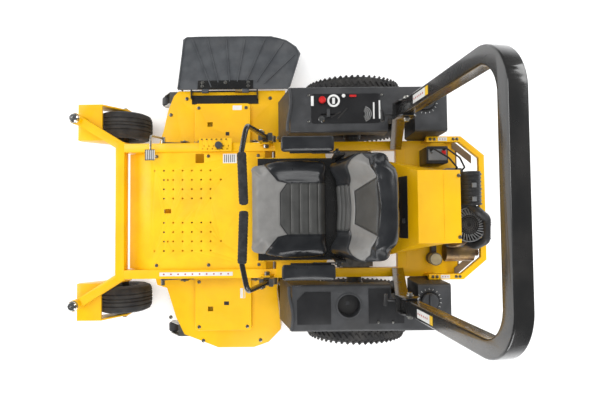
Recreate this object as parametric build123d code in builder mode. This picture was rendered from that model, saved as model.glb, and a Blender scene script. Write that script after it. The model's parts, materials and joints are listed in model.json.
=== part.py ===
"""Zero turn mower with a folding roll bar, a 60 inch side-discharge deck and twin levers.

Machine axes: front is -Y, rear is +Y, the driver's left is +X, Z is up from the ground.
Sizes are millimetres. The pieces are drawn about the machine's mid-plane, and save()
moves them so that the origin is under the middle of the whole machine.
"""
import os
from math import cos, hypot, radians, sin, sqrt

from build123d import *

# ---- Driving sizes --------------------------------------------------------------
fit = 0.05            # radial running clearance of pins and shafts
gap = 0.3             # clearance between bodies that must not touch

rail_inner = 340      # half distance between the two frame rails
rail_width = 50
rail_bottom = 375
rail_top = 440
rail_wall = 4
frame_front = -1015
frame_rear = 900

tyre_radius = 305
tyre_width = 290
tyre_inner_face = 447
axle_y = 320
wheel_rim_radius = 152
axle_radius = 17.5

pivot_x = 535         # caster kingpin
pivot_y = -1290
caster_trail = 180
caster_radius = 165
caster_width = 160
kingpin_radius = 20
caster_axle_radius = 12

floor_top = 430
floor_sheet = 3
floor_break = -870    # where the floor starts to slope down at the front
floor_front = -1012
floor_low = 352
floor_rear = -200

deck_top = 240
deck_skirt = 75
deck_sheet = 4
deck_travel = 80
spindle_radius = 12.5
spindle_spacing = 500
spindle_mid_x = 44
spindle_side_y = -440
spindle_centre_y = -640
blade_radius = 258
pulley_radius = 62
cover_top = 290

chute_hinge_x = -737
chute_hinge_z = 270
chute_tip_x = -1138
chute_sheet = 7

fender_top = 720
fender_clearance = 5   # fender to frame rail
fender_outer = 633
fender_front = -46
fender_rear = 770
fender_low = 400
fender_sheet = 4
arch_gap = 23

seat_half_width = 274
seat_front = -285
seat_rear = 164.7
seat_base = 560
seat_top = 650
seat_hinge_y = -220
seat_hinge_z = 530
back_half_width = 257
back_lean = 28        # degrees
back_thickness = 90
back_length = 470

rops_tube = 63.5
rops_wall = 4
rops_x = 460
rops_pivot_y = 505
rops_pivot_z = 950
rops_lean = 7.4       # degrees
rops_top = 1830
rops_bend = 150

guard_tube = 31       # square tube
guard_wall = 3
guard_z = 550
guard_rear = 1003

lift_shaft_radius = 12
arm_clearance = 4     # lift arm to frame rail
arm_sheet = 8
lift_shaft_z = 405
lift_front_y = -800
lift_rear_y = -150
lift_angle = 19.1     # degrees below level at rest, and above level when raised
lift_arm = deck_travel / (2 * sin(radians(lift_angle)))

# ---- Values that follow ----------------------------------------------------------
rail_outer = rail_inner + rail_width
fender_inner = rail_outer + fender_clearance
arm_x0 = rail_outer + arm_clearance
arm_x1 = arm_x0 + arm_sheet
tyre_outer_face = tyre_inner_face + tyre_width
deck_left = 837
deck_right = -749
front_edge = -1325
rear_edge = guard_rear + guard_tube / 2
shift_x = -(chute_tip_x + deck_left) / 2
shift_y = -(front_edge + rear_edge) / 2


def save(piece, label):
    """Move a finished piece into the machine's frame, name it and write it."""
    solid = piece.part.moved(Location((shift_x, shift_y, 0)))
    solid.label = label
    export_step(solid, f"parts/{label}.step")


def save_group(pieces, label):
    """Write several separate solids of one kind as one node."""
    group = Compound([piece.part.moved(Location((shift_x, shift_y, 0))) for piece in pieces])
    group.label = label
    export_step(group, f"parts/{label}.step")


def block(x, y, z, mode=Mode.ADD):
    """Add a box that spans three (low, high) pairs."""
    with Locations(((x[0] + x[1]) / 2, (y[0] + y[1]) / 2, (z[0] + z[1]) / 2)):
        Box(abs(x[1] - x[0]), y[1] - y[0], z[1] - z[0], mode=mode)


def hollow_block(x, y, z, wall):
    """Add a closed box tube."""
    low, high = min(x), max(x)
    block((low, high), y, z)
    block((low + wall, high - wall), (y[0] + wall, y[1] - wall), (z[0] + wall, z[1] - wall), Mode.SUBTRACT)


def rod(start, end, radius, mode=Mode.ADD):
    """Add a round bar from one point to another."""
    start, end = Vector(*start), Vector(*end)
    with Locations(Plane(origin=start, z_dir=end - start)):
        Cylinder(radius, (end - start).length, align=(Align.CENTER, Align.CENTER, Align.MIN), mode=mode)


def cone(start, end, radius_start, radius_end, mode=Mode.ADD):
    """Add a round taper from one point to another."""
    start, end = Vector(*start), Vector(*end)
    with Locations(Plane(origin=start, z_dir=end - start)):
        Cone(radius_start, radius_end, (end - start).length,
             align=(Align.CENTER, Align.CENTER, Align.MIN), mode=mode)


def plate(points, z, mode=Mode.ADD):
    """Add a flat plate with an outline of (x, y) points between two heights."""
    with BuildSketch(Plane.XY.offset(z[0])) as outline:
        with BuildLine():
            Polyline(*points, close=True)
        make_face()
    extrude(outline.sketch, amount=z[1] - z[0], mode=mode)


def mitred(line, half, end=0):
    """The outline of a strip along a line of (x, y) points, with mitred corners and its ends cut back."""
    edges = []
    for (ax, ay), (bx, by) in zip(line, line[1:]):
        length = hypot(bx - ax, by - ay)
        edges.append(((bx - ax) / length, (by - ay) / length))
    left, right = [], []
    for index, (x, y) in enumerate(line):
        before, after = edges[max(index - 1, 0)], edges[min(index, len(edges) - 1)]
        nx, ny = -before[1] - after[1], before[0] + after[0]
        reach = half * 2 / (nx * nx + ny * ny)
        back = end if index == 0 else -end if index == len(line) - 1 else 0
        x, y = x + before[0] * back, y + before[1] * back
        left.append((x + nx * reach, y + ny * reach))
        right.append((x - nx * reach, y - ny * reach))
    return left + right[::-1]


def side_plate(points, x, mode=Mode.ADD):
    """Add a plate with an outline of (y, z) points between two x values."""
    low, high = min(x), max(x)
    with BuildSketch(Plane.YZ.offset(low)) as outline:
        with BuildLine():
            Polyline(*points, close=True)
        make_face()
    extrude(outline.sketch, amount=high - low, mode=mode)


def front_plate(points, y, mode=Mode.ADD):
    """Add a plate with an outline of (x, z) points between two y values."""
    with BuildSketch(Plane.XZ.offset(-y[1])) as outline:
        with BuildLine():
            Polyline(*points, close=True)
        make_face()
    extrude(outline.sketch, amount=y[1] - y[0], mode=mode)


def turned(profile, x, y, z):
    """Add a round piece about an X axis, from a profile of (distance along x, radius) points."""
    with BuildSketch(Plane((x, y, z), x_dir=(1, 0, 0), z_dir=(0, -1, 0))) as outline:
        with BuildLine():
            Polyline(*profile, close=True)
        make_face()
    revolve(outline.sketch, Axis((x, y, z), (1, 0, 0)))


def pipe(points, bends, radius, mode=Mode.ADD):
    """Add a round bar along a bent route."""
    with BuildLine() as route:
        FilletPolyline(*points, radius=bends)
    start = route.line @ 0
    with BuildSketch(Plane(origin=start, z_dir=route.line % 0)) as section:
        Circle(radius)
    sweep(section.sketch, path=route.line, mode=mode)


os.makedirs("parts", exist_ok=True)
SIDES = (("right", -1), ("left", 1))

# ---- Main frame ------------------------------------------------------------------
seat_plate_top = rail_top + 6
lug_x = (370, 380)
lug_y = (-230, -150)
lever_axis_y = -190
lever_axis_z = 480
lever_pin = 10
riser_x = (282, 290)
engine_plate = (610, 850)
clutch_y = 785
clutch_hole = 60
seat_pin = 6

with BuildPart() as main_frame:
    for side in (-1, 1):
        hollow_block((side * rail_inner, side * rail_outer), (frame_front, frame_rear),
                     (rail_bottom, rail_top), rail_wall)
        side_plate([(lug_y[0], rail_top), (lug_y[1], rail_top), (lug_y[1] - 22, lever_axis_z + 25),
                    (lug_y[0] + 22, lever_axis_z + 25)], (side * lug_x[0], side * lug_x[1]))
        side_plate([(seat_hinge_y - 20, seat_plate_top - 6), (150, seat_plate_top - 6), (150, 519),
                    (-190, 519), (-200, 548), (seat_hinge_y - 20, 548)],
                   (side * riser_x[0], side * riser_x[1]))
        block((side * 255, side * riser_x[0]) if side > 0 else (side * riser_x[0], side * 255),
              (120, 150), (495, 520))
    block((-rail_inner, rail_inner), (560, engine_plate[0]), (rail_bottom + 5, rail_top - 5))
    block((-rail_inner, rail_inner), (566, engine_plate[0] - 6), (rail_bottom + 9, rail_top - 9),
          Mode.SUBTRACT)
    block((-rail_inner, rail_inner), (engine_plate[1], frame_rear), (rail_bottom + 5, rail_top))
    block((-rail_inner, rail_inner), (engine_plate[1] + 5, frame_rear - 5), (rail_bottom + 9, rail_top - 5),
          Mode.SUBTRACT)
    block((-rail_inner, rail_inner), engine_plate, (rail_top - 6, rail_top))
    block((-rail_outer, rail_outer), (-140, 150), (rail_top, seat_plate_top))
    rod((0, clutch_y, rail_top - 10), (0, clutch_y, rail_top + 5), clutch_hole, Mode.SUBTRACT)
    for shaft_y in (lift_front_y, lift_rear_y):
        rod((-rail_outer - 5, shaft_y, lift_shaft_z), (rail_outer + 5, shaft_y, lift_shaft_z),
            lift_shaft_radius + fit, Mode.SUBTRACT)
    rod((-rail_outer, lever_axis_y, lever_axis_z), (rail_outer, lever_axis_y, lever_axis_z),
        lever_pin + fit, Mode.SUBTRACT)
    rod((-300, seat_hinge_y, seat_hinge_z), (300, seat_hinge_y, seat_hinge_z), seat_pin + fit, Mode.SUBTRACT)
save(main_frame, "main_frame")

# ---- Front frame that carries the casters ------------------------------------------
arm_width = 50
pivot_tube_radius = 32
pivot_tube = (365, 470)
crossbar_half = 400

with BuildPart() as front_frame:
    hollow_block((-crossbar_half, crossbar_half), (frame_front - 50, frame_front), (rail_bottom, rail_top), 4)
    for side in (-1, 1):
        run = Vector(side * pivot_x, pivot_y, 0) - Vector(side * 380, frame_front - 25, 0)
        with BuildSketch(Plane((side * 380, frame_front - 25, 380), x_dir=run, z_dir=(0, 0, 1))) as arm:
            with Locations((run.length / 2, 0)):
                Rectangle(run.length, arm_width)
        extrude(arm.sketch, amount=55)
    for side in (-1, 1):
        rod((side * pivot_x, pivot_y, pivot_tube[0]), (side * pivot_x, pivot_y, pivot_tube[1]),
            pivot_tube_radius)
        rod((side * pivot_x, pivot_y, 300), (side * pivot_x, pivot_y, 500), kingpin_radius + fit,
            Mode.SUBTRACT)
save(front_frame, "front_frame")

# ---- Perforated floor ---------------------------------------------------------------
hole_pitch = 54
hole_size = 11
hole_first_y = -653
hole_mid_x = 151
floor_flange = 11

with BuildPart() as floor_pan:
    side_plate([(floor_rear, floor_top), (floor_break, floor_top), (floor_front, floor_low),
                (floor_front, floor_low - floor_sheet), (floor_break, floor_top - floor_sheet),
                (floor_rear, floor_top - floor_sheet)], (-rail_inner, rail_inner))
    for side in (-1, 1):
        side_plate([(floor_rear, floor_top), (floor_break, floor_top), (floor_front, floor_low),
                    (floor_front, floor_low - floor_flange), (floor_break, floor_top - floor_flange),
                    (floor_rear, floor_top - floor_flange)],
                   (side * (rail_inner - 3), side * rail_inner))
    for side in (-1, 1):
        with BuildSketch(Plane.XY.offset(floor_top)) as holes:
            with Locations((side * hole_mid_x, hole_first_y)):
                with GridLocations(hole_pitch, hole_pitch, 4, 6):
                    Circle(hole_size / 2)
            with Locations((side * 232, hole_first_y - 3.5 * hole_pitch), (side * 178, -765), (side * 178,
                                                                                               -458)):
                Circle(hole_size / 2)
        extrude(holes.sketch, amount=-floor_sheet - 1, mode=Mode.SUBTRACT)
    with BuildSketch(Plane.XY.offset(floor_top)) as slots:
        with Locations((3, -766)):
            RectangleRounded(25, 40, 5)
        with Locations((-302, -580)):
            RectangleRounded(55, 50, 6)
    extrude(slots.sketch, amount=-floor_sheet - 1, mode=Mode.SUBTRACT)
save(floor_pan, "floor_pan")

# ---- Rear guard and bumper ------------------------------------------------------------
guard_x = 378
with BuildPart() as rear_guard:
    guard_line = [(-guard_x, 702), (-guard_x, 885), (-280, guard_rear), (280, guard_rear), (guard_x, 885),
                  (guard_x, 702)]
    half = guard_tube / 2
    plate(mitred(guard_line, half), (guard_z - half, guard_z + half))
    plate(mitred(guard_line, half - guard_wall, guard_wall), (guard_z - half + guard_wall,
                                                              guard_z + half - guard_wall),
          Mode.SUBTRACT)
    for side in (-1, 1):
        block((side * guard_x - 5, side * guard_x + 5), (705, 760), (rail_top, guard_z))
        block((side * guard_x - 5, side * guard_x + 5), (840, 880), (rail_top, guard_z))
save(rear_guard, "rear_guard")

bumper_y = (frame_rear, frame_rear + 8)
hitch_hole = 8
hitch_reach = 70
with BuildPart() as rear_bumper:
    block((-330, 330), bumper_y, (300, rail_top))
    block((-330, 330), (frame_rear, frame_rear + 25), (300, 308))
    block((-60, 60), (frame_rear, frame_rear + hitch_reach), (360, 370))
    rod((0, frame_rear + 45, 350), (0, frame_rear + 45, 380), hitch_hole, Mode.SUBTRACT)
save(rear_bumper, "rear_bumper")

# ---- Front casters ---------------------------------------------------------------------
wheel_y = pivot_y + caster_trail
leg_x = (100, 109)
crown = (338, 352)
caster_rim_radius = 75

for name, side in SIDES:
    px = side * pivot_x
    with BuildPart() as caster_fork:
        block((px - leg_x[1], px + leg_x[1]), (-1325, -1182), crown)
        for flank in (-1, 1):
            side_plate([(-1325, crown[1]), (-1182, crown[1]), (wheel_y + 34, 190), (wheel_y + 34, 138),
                        (wheel_y - 34, 138), (-1325, 305)], (px + flank * leg_x[0], px + flank * leg_x[1]))
            rod((px + flank * leg_x[1], wheel_y, caster_radius),
                (px + flank * (leg_x[1] + 10), wheel_y, caster_radius), 18)
        rod((px - leg_x[0], wheel_y, caster_radius), (px + leg_x[0], wheel_y, caster_radius),
            caster_axle_radius)
        rod((px, pivot_y, crown[1]), (px, pivot_y, pivot_tube[0] - gap), 30)
        rod((px, pivot_y, crown[1]), (px, pivot_y, pivot_tube[1] + 2), kingpin_radius)
        cone((px, pivot_y, pivot_tube[1] + gap), (px, pivot_y, pivot_tube[1] + 16), 29, 24)
    save(caster_fork, f"caster_fork_{name}")

    half = caster_width / 2
    with BuildPart() as caster_tyre:
        turned([(-half + 14, caster_rim_radius + 0.1), (-half, caster_rim_radius + 22), (-half,
                                                                                         caster_radius - 34),
                (-half + 10, caster_radius - 10), (-half + 30, caster_radius), (half - 30, caster_radius),
                (half - 10, caster_radius - 10), (half, caster_radius - 34), (half, caster_rim_radius + 22),
                (half - 14, caster_rim_radius + 0.1)], px, wheel_y, caster_radius)
    save(caster_tyre, f"caster_tyre_{name}")

    bore = caster_axle_radius + fit
    with BuildPart() as caster_rim:
        turned([(-97, bore), (97, bore), (97, 24), (58, 24), (20, 34), (20, 62), (66, 68), (66,
                                                                                            caster_rim_radius),
                (-66, caster_rim_radius), (-66, 68), (-20, 62), (-20, 34), (-58, 24), (-97, 24)],
               px, wheel_y, caster_radius)
    save(caster_rim, f"caster_rim_{name}")

# ---- Drive wheels and transaxles ----------------------------------------------------------
hydro_tube_radius = 45
hydro_end = 430
hub_start = hydro_end + gap

for name, side in SIDES:
    mid = side * (tyre_inner_face + tyre_width / 2)
    half = tyre_width / 2
    with BuildPart() as drive_tyre:
        turned([(-half + 16, wheel_rim_radius + 0.1), (-half + 4, wheel_rim_radius + 30), (-half,
                                                                                           tyre_radius - 85),
                (-half + 8, tyre_radius - 32), (-half + 34, tyre_radius - 7), (-half + 80, tyre_radius),
                (half - 80, tyre_radius), (half - 34, tyre_radius - 7), (half - 8, tyre_radius - 32),
                (half, tyre_radius - 85), (half - 4, wheel_rim_radius + 30), (half - 16,
                                                                              wheel_rim_radius + 0.1)],
               mid, axle_y, tyre_radius)
    save(drive_tyre, f"drive_tyre_{name}")

    r = wheel_rim_radius
    with BuildPart() as drive_rim:
        turned([(-half + 20, r), (half - 20, r), (half - 20, r - 10), (20, r - 14), (20, 60), (30, 56), (30,
                                                                                                         0),
                (hub_start - tyre_inner_face - half, 0), (hub_start - tyre_inner_face - half, 50),
                (-half + 40, 60), (8, 62), (8, r - 22), (-half + 20, r - 10)]
               if side > 0 else
               [(half - 20, r), (-half + 20, r), (-half + 20, r - 10), (-20, r - 14), (-20, 60), (-30, 56),
                (-30, 0),
                (-hub_start + tyre_inner_face + half, 0), (-hub_start + tyre_inner_face + half, 50),
                (half - 40, 60), (-8, 62), (-8, r - 22), (half - 20, r - 10)],
               mid, axle_y, tyre_radius)
        rod((side * 350, axle_y, tyre_radius), (side * (hub_start + 5), axle_y, tyre_radius), axle_radius)
    save(drive_rim, f"drive_rim_{name}")

with BuildPart() as hydro_units:
    for side in (-1, 1):
        xs = (170, 335) if side > 0 else (-335, -170)
        block(xs, (230, 420), (262, 405))
        block((side * 335, side * rail_inner) if side > 0 else (-rail_inner, -335), (245, 400), (383, 405))
        rod((side * 330, axle_y, tyre_radius), (side * hydro_end, axle_y, tyre_radius), hydro_tube_radius)
        rod((side * 250, 275, 405), (side * 250, 275, 452), 22)
        rod((side * 345, axle_y, tyre_radius), (side * (hydro_end + 5), axle_y, tyre_radius),
            axle_radius + fit, Mode.SUBTRACT)
save(hydro_units, "hydro_units")

# ---- Twin control levers -----------------------------------------------------------------
swing_x = 402
swing_z = 540
swing_pin = 6
tongue = 20
tongue_y = (-204.5, -175.5)
lever_tube = 12.5
grip_radius = 19

for name, side in SIDES:
    with BuildPart() as lever_pivot:
        rod((side * 350, lever_axis_y, lever_axis_z), (side * 388, lever_axis_y, lever_axis_z), lever_pin)
        rod((side * 352, lever_axis_y, lever_axis_z), (side * (lug_x[0] - gap), lever_axis_y, lever_axis_z),
            17)
        block((side * (lug_x[1] + gap), side * 424), (-228, -152), (458, 562))
        block((side * (lug_x[1] - 1), side * 430), (tongue_y[0] - 0.5, tongue_y[1] + 0.5), (519, 600),
              Mode.SUBTRACT)
        rod((side * swing_x, -228, swing_z), (side * swing_x, -152, swing_z), swing_pin)
    save(lever_pivot, f"lever_pivot_{name}")

    inner_end = -12 if side < 0 else 14
    reach = [(side * swing_x, lever_axis_y, 566), (side * 398, -205, 700), (side * 382, -244, 985),
             (side * 257, -267, 1000), (inner_end, -257, 1000)]
    with BuildPart() as control_lever:
        block((side * (swing_x - tongue / 2), side * (swing_x + tongue / 2)), tongue_y, (swing_z, 575))
        rod((side * swing_x, tongue_y[0], swing_z), (side * swing_x, tongue_y[1], swing_z), 14)
        rod((side * swing_x, tongue_y[0], swing_z), (side * swing_x, tongue_y[1], swing_z),
            swing_pin + fit, Mode.SUBTRACT)
        pipe(reach, 45, lever_tube)
        rod((inner_end + side * 20, -257.4, 1000), (side * 235, -265.8, 1000), grip_radius)
    save(control_lever, f"control_lever_{name}")

# ---- Seat ------------------------------------------------------------------------------------
back_low_z = 600
lean = radians(back_lean)
back_front = (seat_rear + gap, 655)
back_top = (back_front[0] + back_length * sin(lean), back_front[1] + back_length * cos(lean))
back_top_rear = (back_top[0] + back_thickness * cos(lean), back_top[1] - back_thickness * sin(lean))
arm_pivot = (185, 842)
arm_pin = 8
arm_front_y = -100
arm_x = (272, 358)
arm_z = (830, 880)
side_arm_x = (258, 266)

with BuildPart() as seat_platform:
    hollow_block((-280, 280), (seat_hinge_y - 12, 245), (520.5, seat_base), 4)
    for side in (-1, 1):
        rod((side * 276, seat_hinge_y, seat_hinge_z), (side * (riser_x[1] + 2), seat_hinge_y, seat_hinge_z),
            seat_pin)
        side_plate([(168, seat_base - 2), (240, seat_base - 2), (225, 700), (222, 870), (168, 870), (168,
                                                                                                     700)],
                   (side * side_arm_x[0], side * side_arm_x[1]))
        rod((side * side_arm_x[0], arm_pivot[0], arm_pivot[1]), (side * 290, arm_pivot[0], arm_pivot[1]),
            arm_pin)
save(seat_platform, "seat_platform")

with BuildPart() as seat_cushion:
    block((-seat_half_width + 20, seat_half_width - 20), (seat_front, seat_rear), (seat_base, seat_top))
    for side in (-1, 1):
        block((side * (seat_half_width - 90), side * seat_half_width), (seat_front + 30, seat_rear),
              (seat_base, seat_top + 38))
    fillet(seat_cushion.edges().filter_by(Axis.Y), 12)
save(seat_cushion, "seat_cushion")

with BuildPart() as seat_back:
    side_plate([(back_front[0], back_low_z), back_front, back_top, back_top_rear,
                (back_top_rear[0] - 440 * sin(lean), back_top_rear[1] - 440 * cos(lean)), (236, back_low_z)],
               (-back_half_width, back_half_width))
    fillet(seat_back.faces().sort_by(Axis.Z)[-1].edges().filter_by(Axis.X), 18)
save(seat_back, "seat_back")

for name, side in SIDES:
    with BuildPart() as armrest:
        block((side * arm_x[0], side * arm_x[1]), (arm_front_y, 215), arm_z)
        fillet(armrest.edges().filter_by(Axis.X), 16)
        fillet(armrest.edges().filter_by(Axis.Y), 12)
        rod((side * (side_arm_x[1] + gap), arm_pivot[0], arm_pivot[1]), (side * 300, arm_pivot[0],
                                                                         arm_pivot[1]), 11.5)
        rod((side * side_arm_x[1], arm_pivot[0], arm_pivot[1]), (side * 292, arm_pivot[0], arm_pivot[1]),
            arm_pin + fit, Mode.SUBTRACT)
    save(armrest, f"armrest_{name}")

# ---- Fender pods, tanks and their panels ---------------------------------------------------------
notch = ((390, 462), (462, 602))
arch = tyre_radius + arch_gap
foot_front = (-100, -40)
foot_rear = (660, 740)
tank_y = (634, fender_rear - fender_sheet)
tank_x = (430, 622)
cap_y = 658
cap_x = {"right": 550, "left": 480}
neck_radius = 34
cap_radius = 42
cup_centre = (502, 246)
cup_depth = 80
cup_radius = 60
panel = 3
knob_at = (558, 120)
key_at = (463, 116)
throttle_at = (488, 150)


def pod_outline(inset):
    """Side outline of a fender pod, drawn in by a wall thickness."""
    return [(fender_front - 77 + inset, fender_low - (20 if inset else 0)), (fender_front + inset,
                                                                             fender_top - inset),
            (fender_rear - inset, fender_top - inset), (fender_rear - inset,
                                                        fender_low - (20 if inset else 0))]


tanks = []
for name, side in SIDES:
    t = fender_sheet
    cap_at = (side * cap_x[name], cap_y)
    with BuildPart(mode=Mode.PRIVATE) as inside:
        side_plate(pod_outline(t), (side * (fender_inner + t), side * (fender_outer - t)))
        rod((side * (fender_inner - 5), axle_y, tyre_radius), (side * 700, axle_y, tyre_radius), arch + t,
            Mode.SUBTRACT)
        block((side * notch[0][0], side * (notch[0][1] + t)), (notch[1][0] - t, notch[1][1] + t), (300, 800),
              Mode.SUBTRACT)
    with BuildPart() as fender:
        side_plate(pod_outline(0), (side * fender_inner, side * fender_outer))
        fillet(fender.edges().filter_by(Axis.Y).sort_by(Axis.Z)[-2:], 14)
        rod((side * (fender_inner - 5), axle_y, tyre_radius), (side * 700, axle_y, tyre_radius), arch,
            Mode.SUBTRACT)
        block((side * notch[0][0], side * notch[0][1]), notch[1], (300, 800), Mode.SUBTRACT)
        add(inside.part, mode=Mode.SUBTRACT)
        for foot in (foot_front, foot_rear):
            block((side * rail_outer, side * (fender_inner + t)), foot, (fender_low, rail_top - 2))
        rod((*cap_at, fender_top - 6), (*cap_at, fender_top + 5), cap_radius + 4, Mode.SUBTRACT)
        if side > 0:
            rod((*cup_centre, fender_top - cup_depth - t), (*cup_centre, fender_top), cup_radius + t)
            rod((*cup_centre, fender_top - cup_depth), (*cup_centre, fender_top + 5), cup_radius,
                Mode.SUBTRACT)
        else:
            rod((-knob_at[0], knob_at[1], 700), (-knob_at[0], knob_at[1], 730), 12, Mode.SUBTRACT)
            rod((-key_at[0], key_at[1], 700), (-key_at[0], key_at[1], 730), 14, Mode.SUBTRACT)
            block((-throttle_at[0] - 8, -throttle_at[0] + 8), (throttle_at[1] - 45, throttle_at[1] + 45),
                  (700, 730),
                  Mode.SUBTRACT)
    save(fender, f"fender_{name}")

    with BuildPart() as fuel_tank:
        block((side * tank_x[0], side * tank_x[1]), tank_y, (450, 690))
        block((side * (tank_x[0] + 4), side * (tank_x[1] - 4)), (tank_y[0] + 4, tank_y[1] - 4), (454, 686),
              Mode.SUBTRACT)
        rod((*cap_at, 688), (*cap_at, fender_top), neck_radius)
        rod((*cap_at, 680), (*cap_at, fender_top), neck_radius - 6, Mode.SUBTRACT)
    tanks.append(fuel_tank)

    with BuildPart() as fuel_cap:
        rod((*cap_at, fender_top), (*cap_at, fender_top + 24), cap_radius)
        rod((*cap_at, fender_top - 16), (*cap_at, fender_top), neck_radius - 6 - gap)
        with Locations((*cap_at, fender_top + 24)):
            Box(70, 12, 16, align=(Align.CENTER, Align.CENTER, Align.MIN))
    save(fuel_cap, f"fuel_cap_{name}")

save_group(tanks, "fuel_tanks")

with BuildPart() as console_plate:
    plate([(-595, 63), (-440, 63), (-440, 421), (-595, 421)], (fender_top, fender_top + panel))
    fillet(console_plate.edges().filter_by(Axis.Z), 14)
    rod((-knob_at[0], knob_at[1], 700), (-knob_at[0], knob_at[1], 730), 6 + fit, Mode.SUBTRACT)
    rod((-key_at[0], key_at[1], 700), (-key_at[0], key_at[1], 730), 5 + fit, Mode.SUBTRACT)
    block((-throttle_at[0] - 2.5, -throttle_at[0] + 2.5), (throttle_at[1] - 38, throttle_at[1] + 38), (700,
                                                                                                       730),
          Mode.SUBTRACT)

with BuildPart() as fender_lids:
    plate([(430, 20), (470, -20), (595, -20), (595, 153), (430, 153)], (fender_top, fender_top + panel))
    plate([(415, 346), (592, 346), (592, 527), (475, 527), (475, 455), (415, 455)], (fender_top,
                                                                                     fender_top + panel))

plate_top = fender_top + panel
with BuildPart() as hour_meter:
    rod((-556, 179, plate_top), (-556, 179, plate_top + 7), 32)
save_group((console_plate, fender_lids, hour_meter), "fender_panels")

knob_travel = 12
with BuildPart() as pto_knob:
    rod((-knob_at[0], knob_at[1], plate_top), (-knob_at[0], knob_at[1], plate_top + 22), 17)
    rod((-knob_at[0], knob_at[1], fender_top - 20), (-knob_at[0], knob_at[1], plate_top + 2), 6)
save(pto_knob, "pto_knob")

with BuildPart() as ignition_key:
    rod((-key_at[0], key_at[1], plate_top), (-key_at[0], key_at[1], plate_top + 5), 12)
    rod((-key_at[0], key_at[1], fender_top - 12), (-key_at[0], key_at[1], plate_top + 2), 5)
    block((-key_at[0] - 2, -key_at[0] + 2), (key_at[1] - 11, key_at[1] + 11), (plate_top + 5, plate_top + 27))
save(ignition_key, "ignition_key")

throttle_z = fender_top - 30
with BuildPart() as throttle_lever:
    rod((-throttle_at[0] - 6, throttle_at[1], throttle_z), (-throttle_at[0] + 6, throttle_at[1], throttle_z),
        9)
    block((-throttle_at[0] - 2, -throttle_at[0] + 2), (throttle_at[1] - 5, throttle_at[1] + 5),
          (throttle_z, plate_top + 24))
    block((-throttle_at[0] - 20, -throttle_at[0] + 20), (throttle_at[1] - 8, throttle_at[1] + 8),
          (plate_top + 20, plate_top + 34))
save(throttle_lever, "throttle_lever")

# ---- Folding roll bar ---------------------------------------------------------------------------
ear = 8
post_top = 900
post_foot = (372, 556)
ear_gap = 0.5
tilt = radians(rops_lean)
hoop_plane = Plane((0, rops_pivot_y, rops_pivot_z), x_dir=(1, 0, 0), z_dir=(0, -cos(tilt), sin(tilt)))
hoop_high = (rops_top - rops_pivot_z) / cos(tilt) - rops_tube / 2
hoop_low = -32
hinge_bolt = 9.5

with BuildPart() as rops_bases:
    for side in (-1, 1):
        for size, mode in ((rops_tube, Mode.ADD), (rops_tube - 2 * rops_wall, Mode.SUBTRACT)):
            with BuildSketch(Plane.XY.offset(rail_top)) as foot:
                with Locations((side * post_foot[0], post_foot[1])):
                    Rectangle(size, size)
            with BuildSketch(Plane.XY.offset(post_top - 6)) as head:
                with Locations((side * (rops_x - 2), 482)):
                    Rectangle(size, size)
            loft([foot.sketch.face(), head.sketch.face()], mode=mode)
        half = rops_tube / 2 + ear_gap + ear
        block((side * rops_x - half, side * rops_x + half), (450, 536), (post_top - 6, post_top))
        for flank in (-1, 1):
            edge = side * rops_x + flank * (rops_tube / 2 + ear_gap)
            side_plate([(455, post_top), (536, post_top), (548, 960), (530, 990), (480, 990), (462, 960)],
                       (edge, edge + flank * ear))
        rod((side * rops_x - half - 9, rops_pivot_y, rops_pivot_z), (side * rops_x + half + 9, rops_pivot_y,
                                                                     rops_pivot_z),
            hinge_bolt)
save(rops_bases, "rops_bases")

with BuildPart() as rops_hoop:
    for size, mode in ((rops_tube, Mode.ADD), (rops_tube - 2 * rops_wall, Mode.SUBTRACT)):
        with BuildLine(hoop_plane) as route:
            FilletPolyline((-rops_x, hoop_low), (-rops_x, hoop_high), (rops_x, hoop_high), (rops_x, hoop_low),
                           radius=rops_bend)
        with BuildSketch(Plane(route.line @ 0, x_dir=(1, 0, 0), z_dir=route.line % 0)) as section:
            Rectangle(size, size)
            if mode == Mode.ADD:
                fillet(section.vertices(), 7)
        sweep(section.sketch, path=route.line, mode=mode)
    for side in (-1, 1):
        reach = rops_tube / 2
        rod((side * rops_x - reach, rops_pivot_y, rops_pivot_z), (side * rops_x + reach, rops_pivot_y,
                                                                  rops_pivot_z),
            hinge_bolt + 8)
        rod((side * rops_x - 50, rops_pivot_y, rops_pivot_z), (side * rops_x + 50, rops_pivot_y,
                                                               rops_pivot_z),
            hinge_bolt + fit, Mode.SUBTRACT)
save(rops_hoop, "rops_hoop")

# ---- Cutting deck -----------------------------------------------------------------------------------
deck_outline = [(deck_right, -86), (deck_right, -753), (-718, -782), (-630, -817), (-500, -846), (-300, -915),
                (0, -930), (300, -925), (453, -884), (472, -824), (654, -767), (755, -717), (774, -673),
                (deck_left, -509), (deck_left, -290), (806, -200), (730, -125), (500, -148), (0, -136)]
spindles = {"right": (spindle_mid_x - spindle_spacing, spindle_side_y),
            "centre": (spindle_mid_x, spindle_centre_y),
            "left": (spindle_mid_x + spindle_spacing, spindle_side_y)}
outlet_y = (-690, -150)
link_x = (arm_x1 + 3, arm_x1 + 9)
link_gap = 0.8
link_shift = 3.8
pin_radius = 6
pin_drop = lift_arm * sin(radians(lift_angle))
pin_reach = lift_arm * cos(radians(lift_angle))
slot_reach = (pin_reach + lift_arm) / 2
lift_pins = {"front": (lift_front_y, 1), "rear": (lift_rear_y, -1)}

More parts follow.
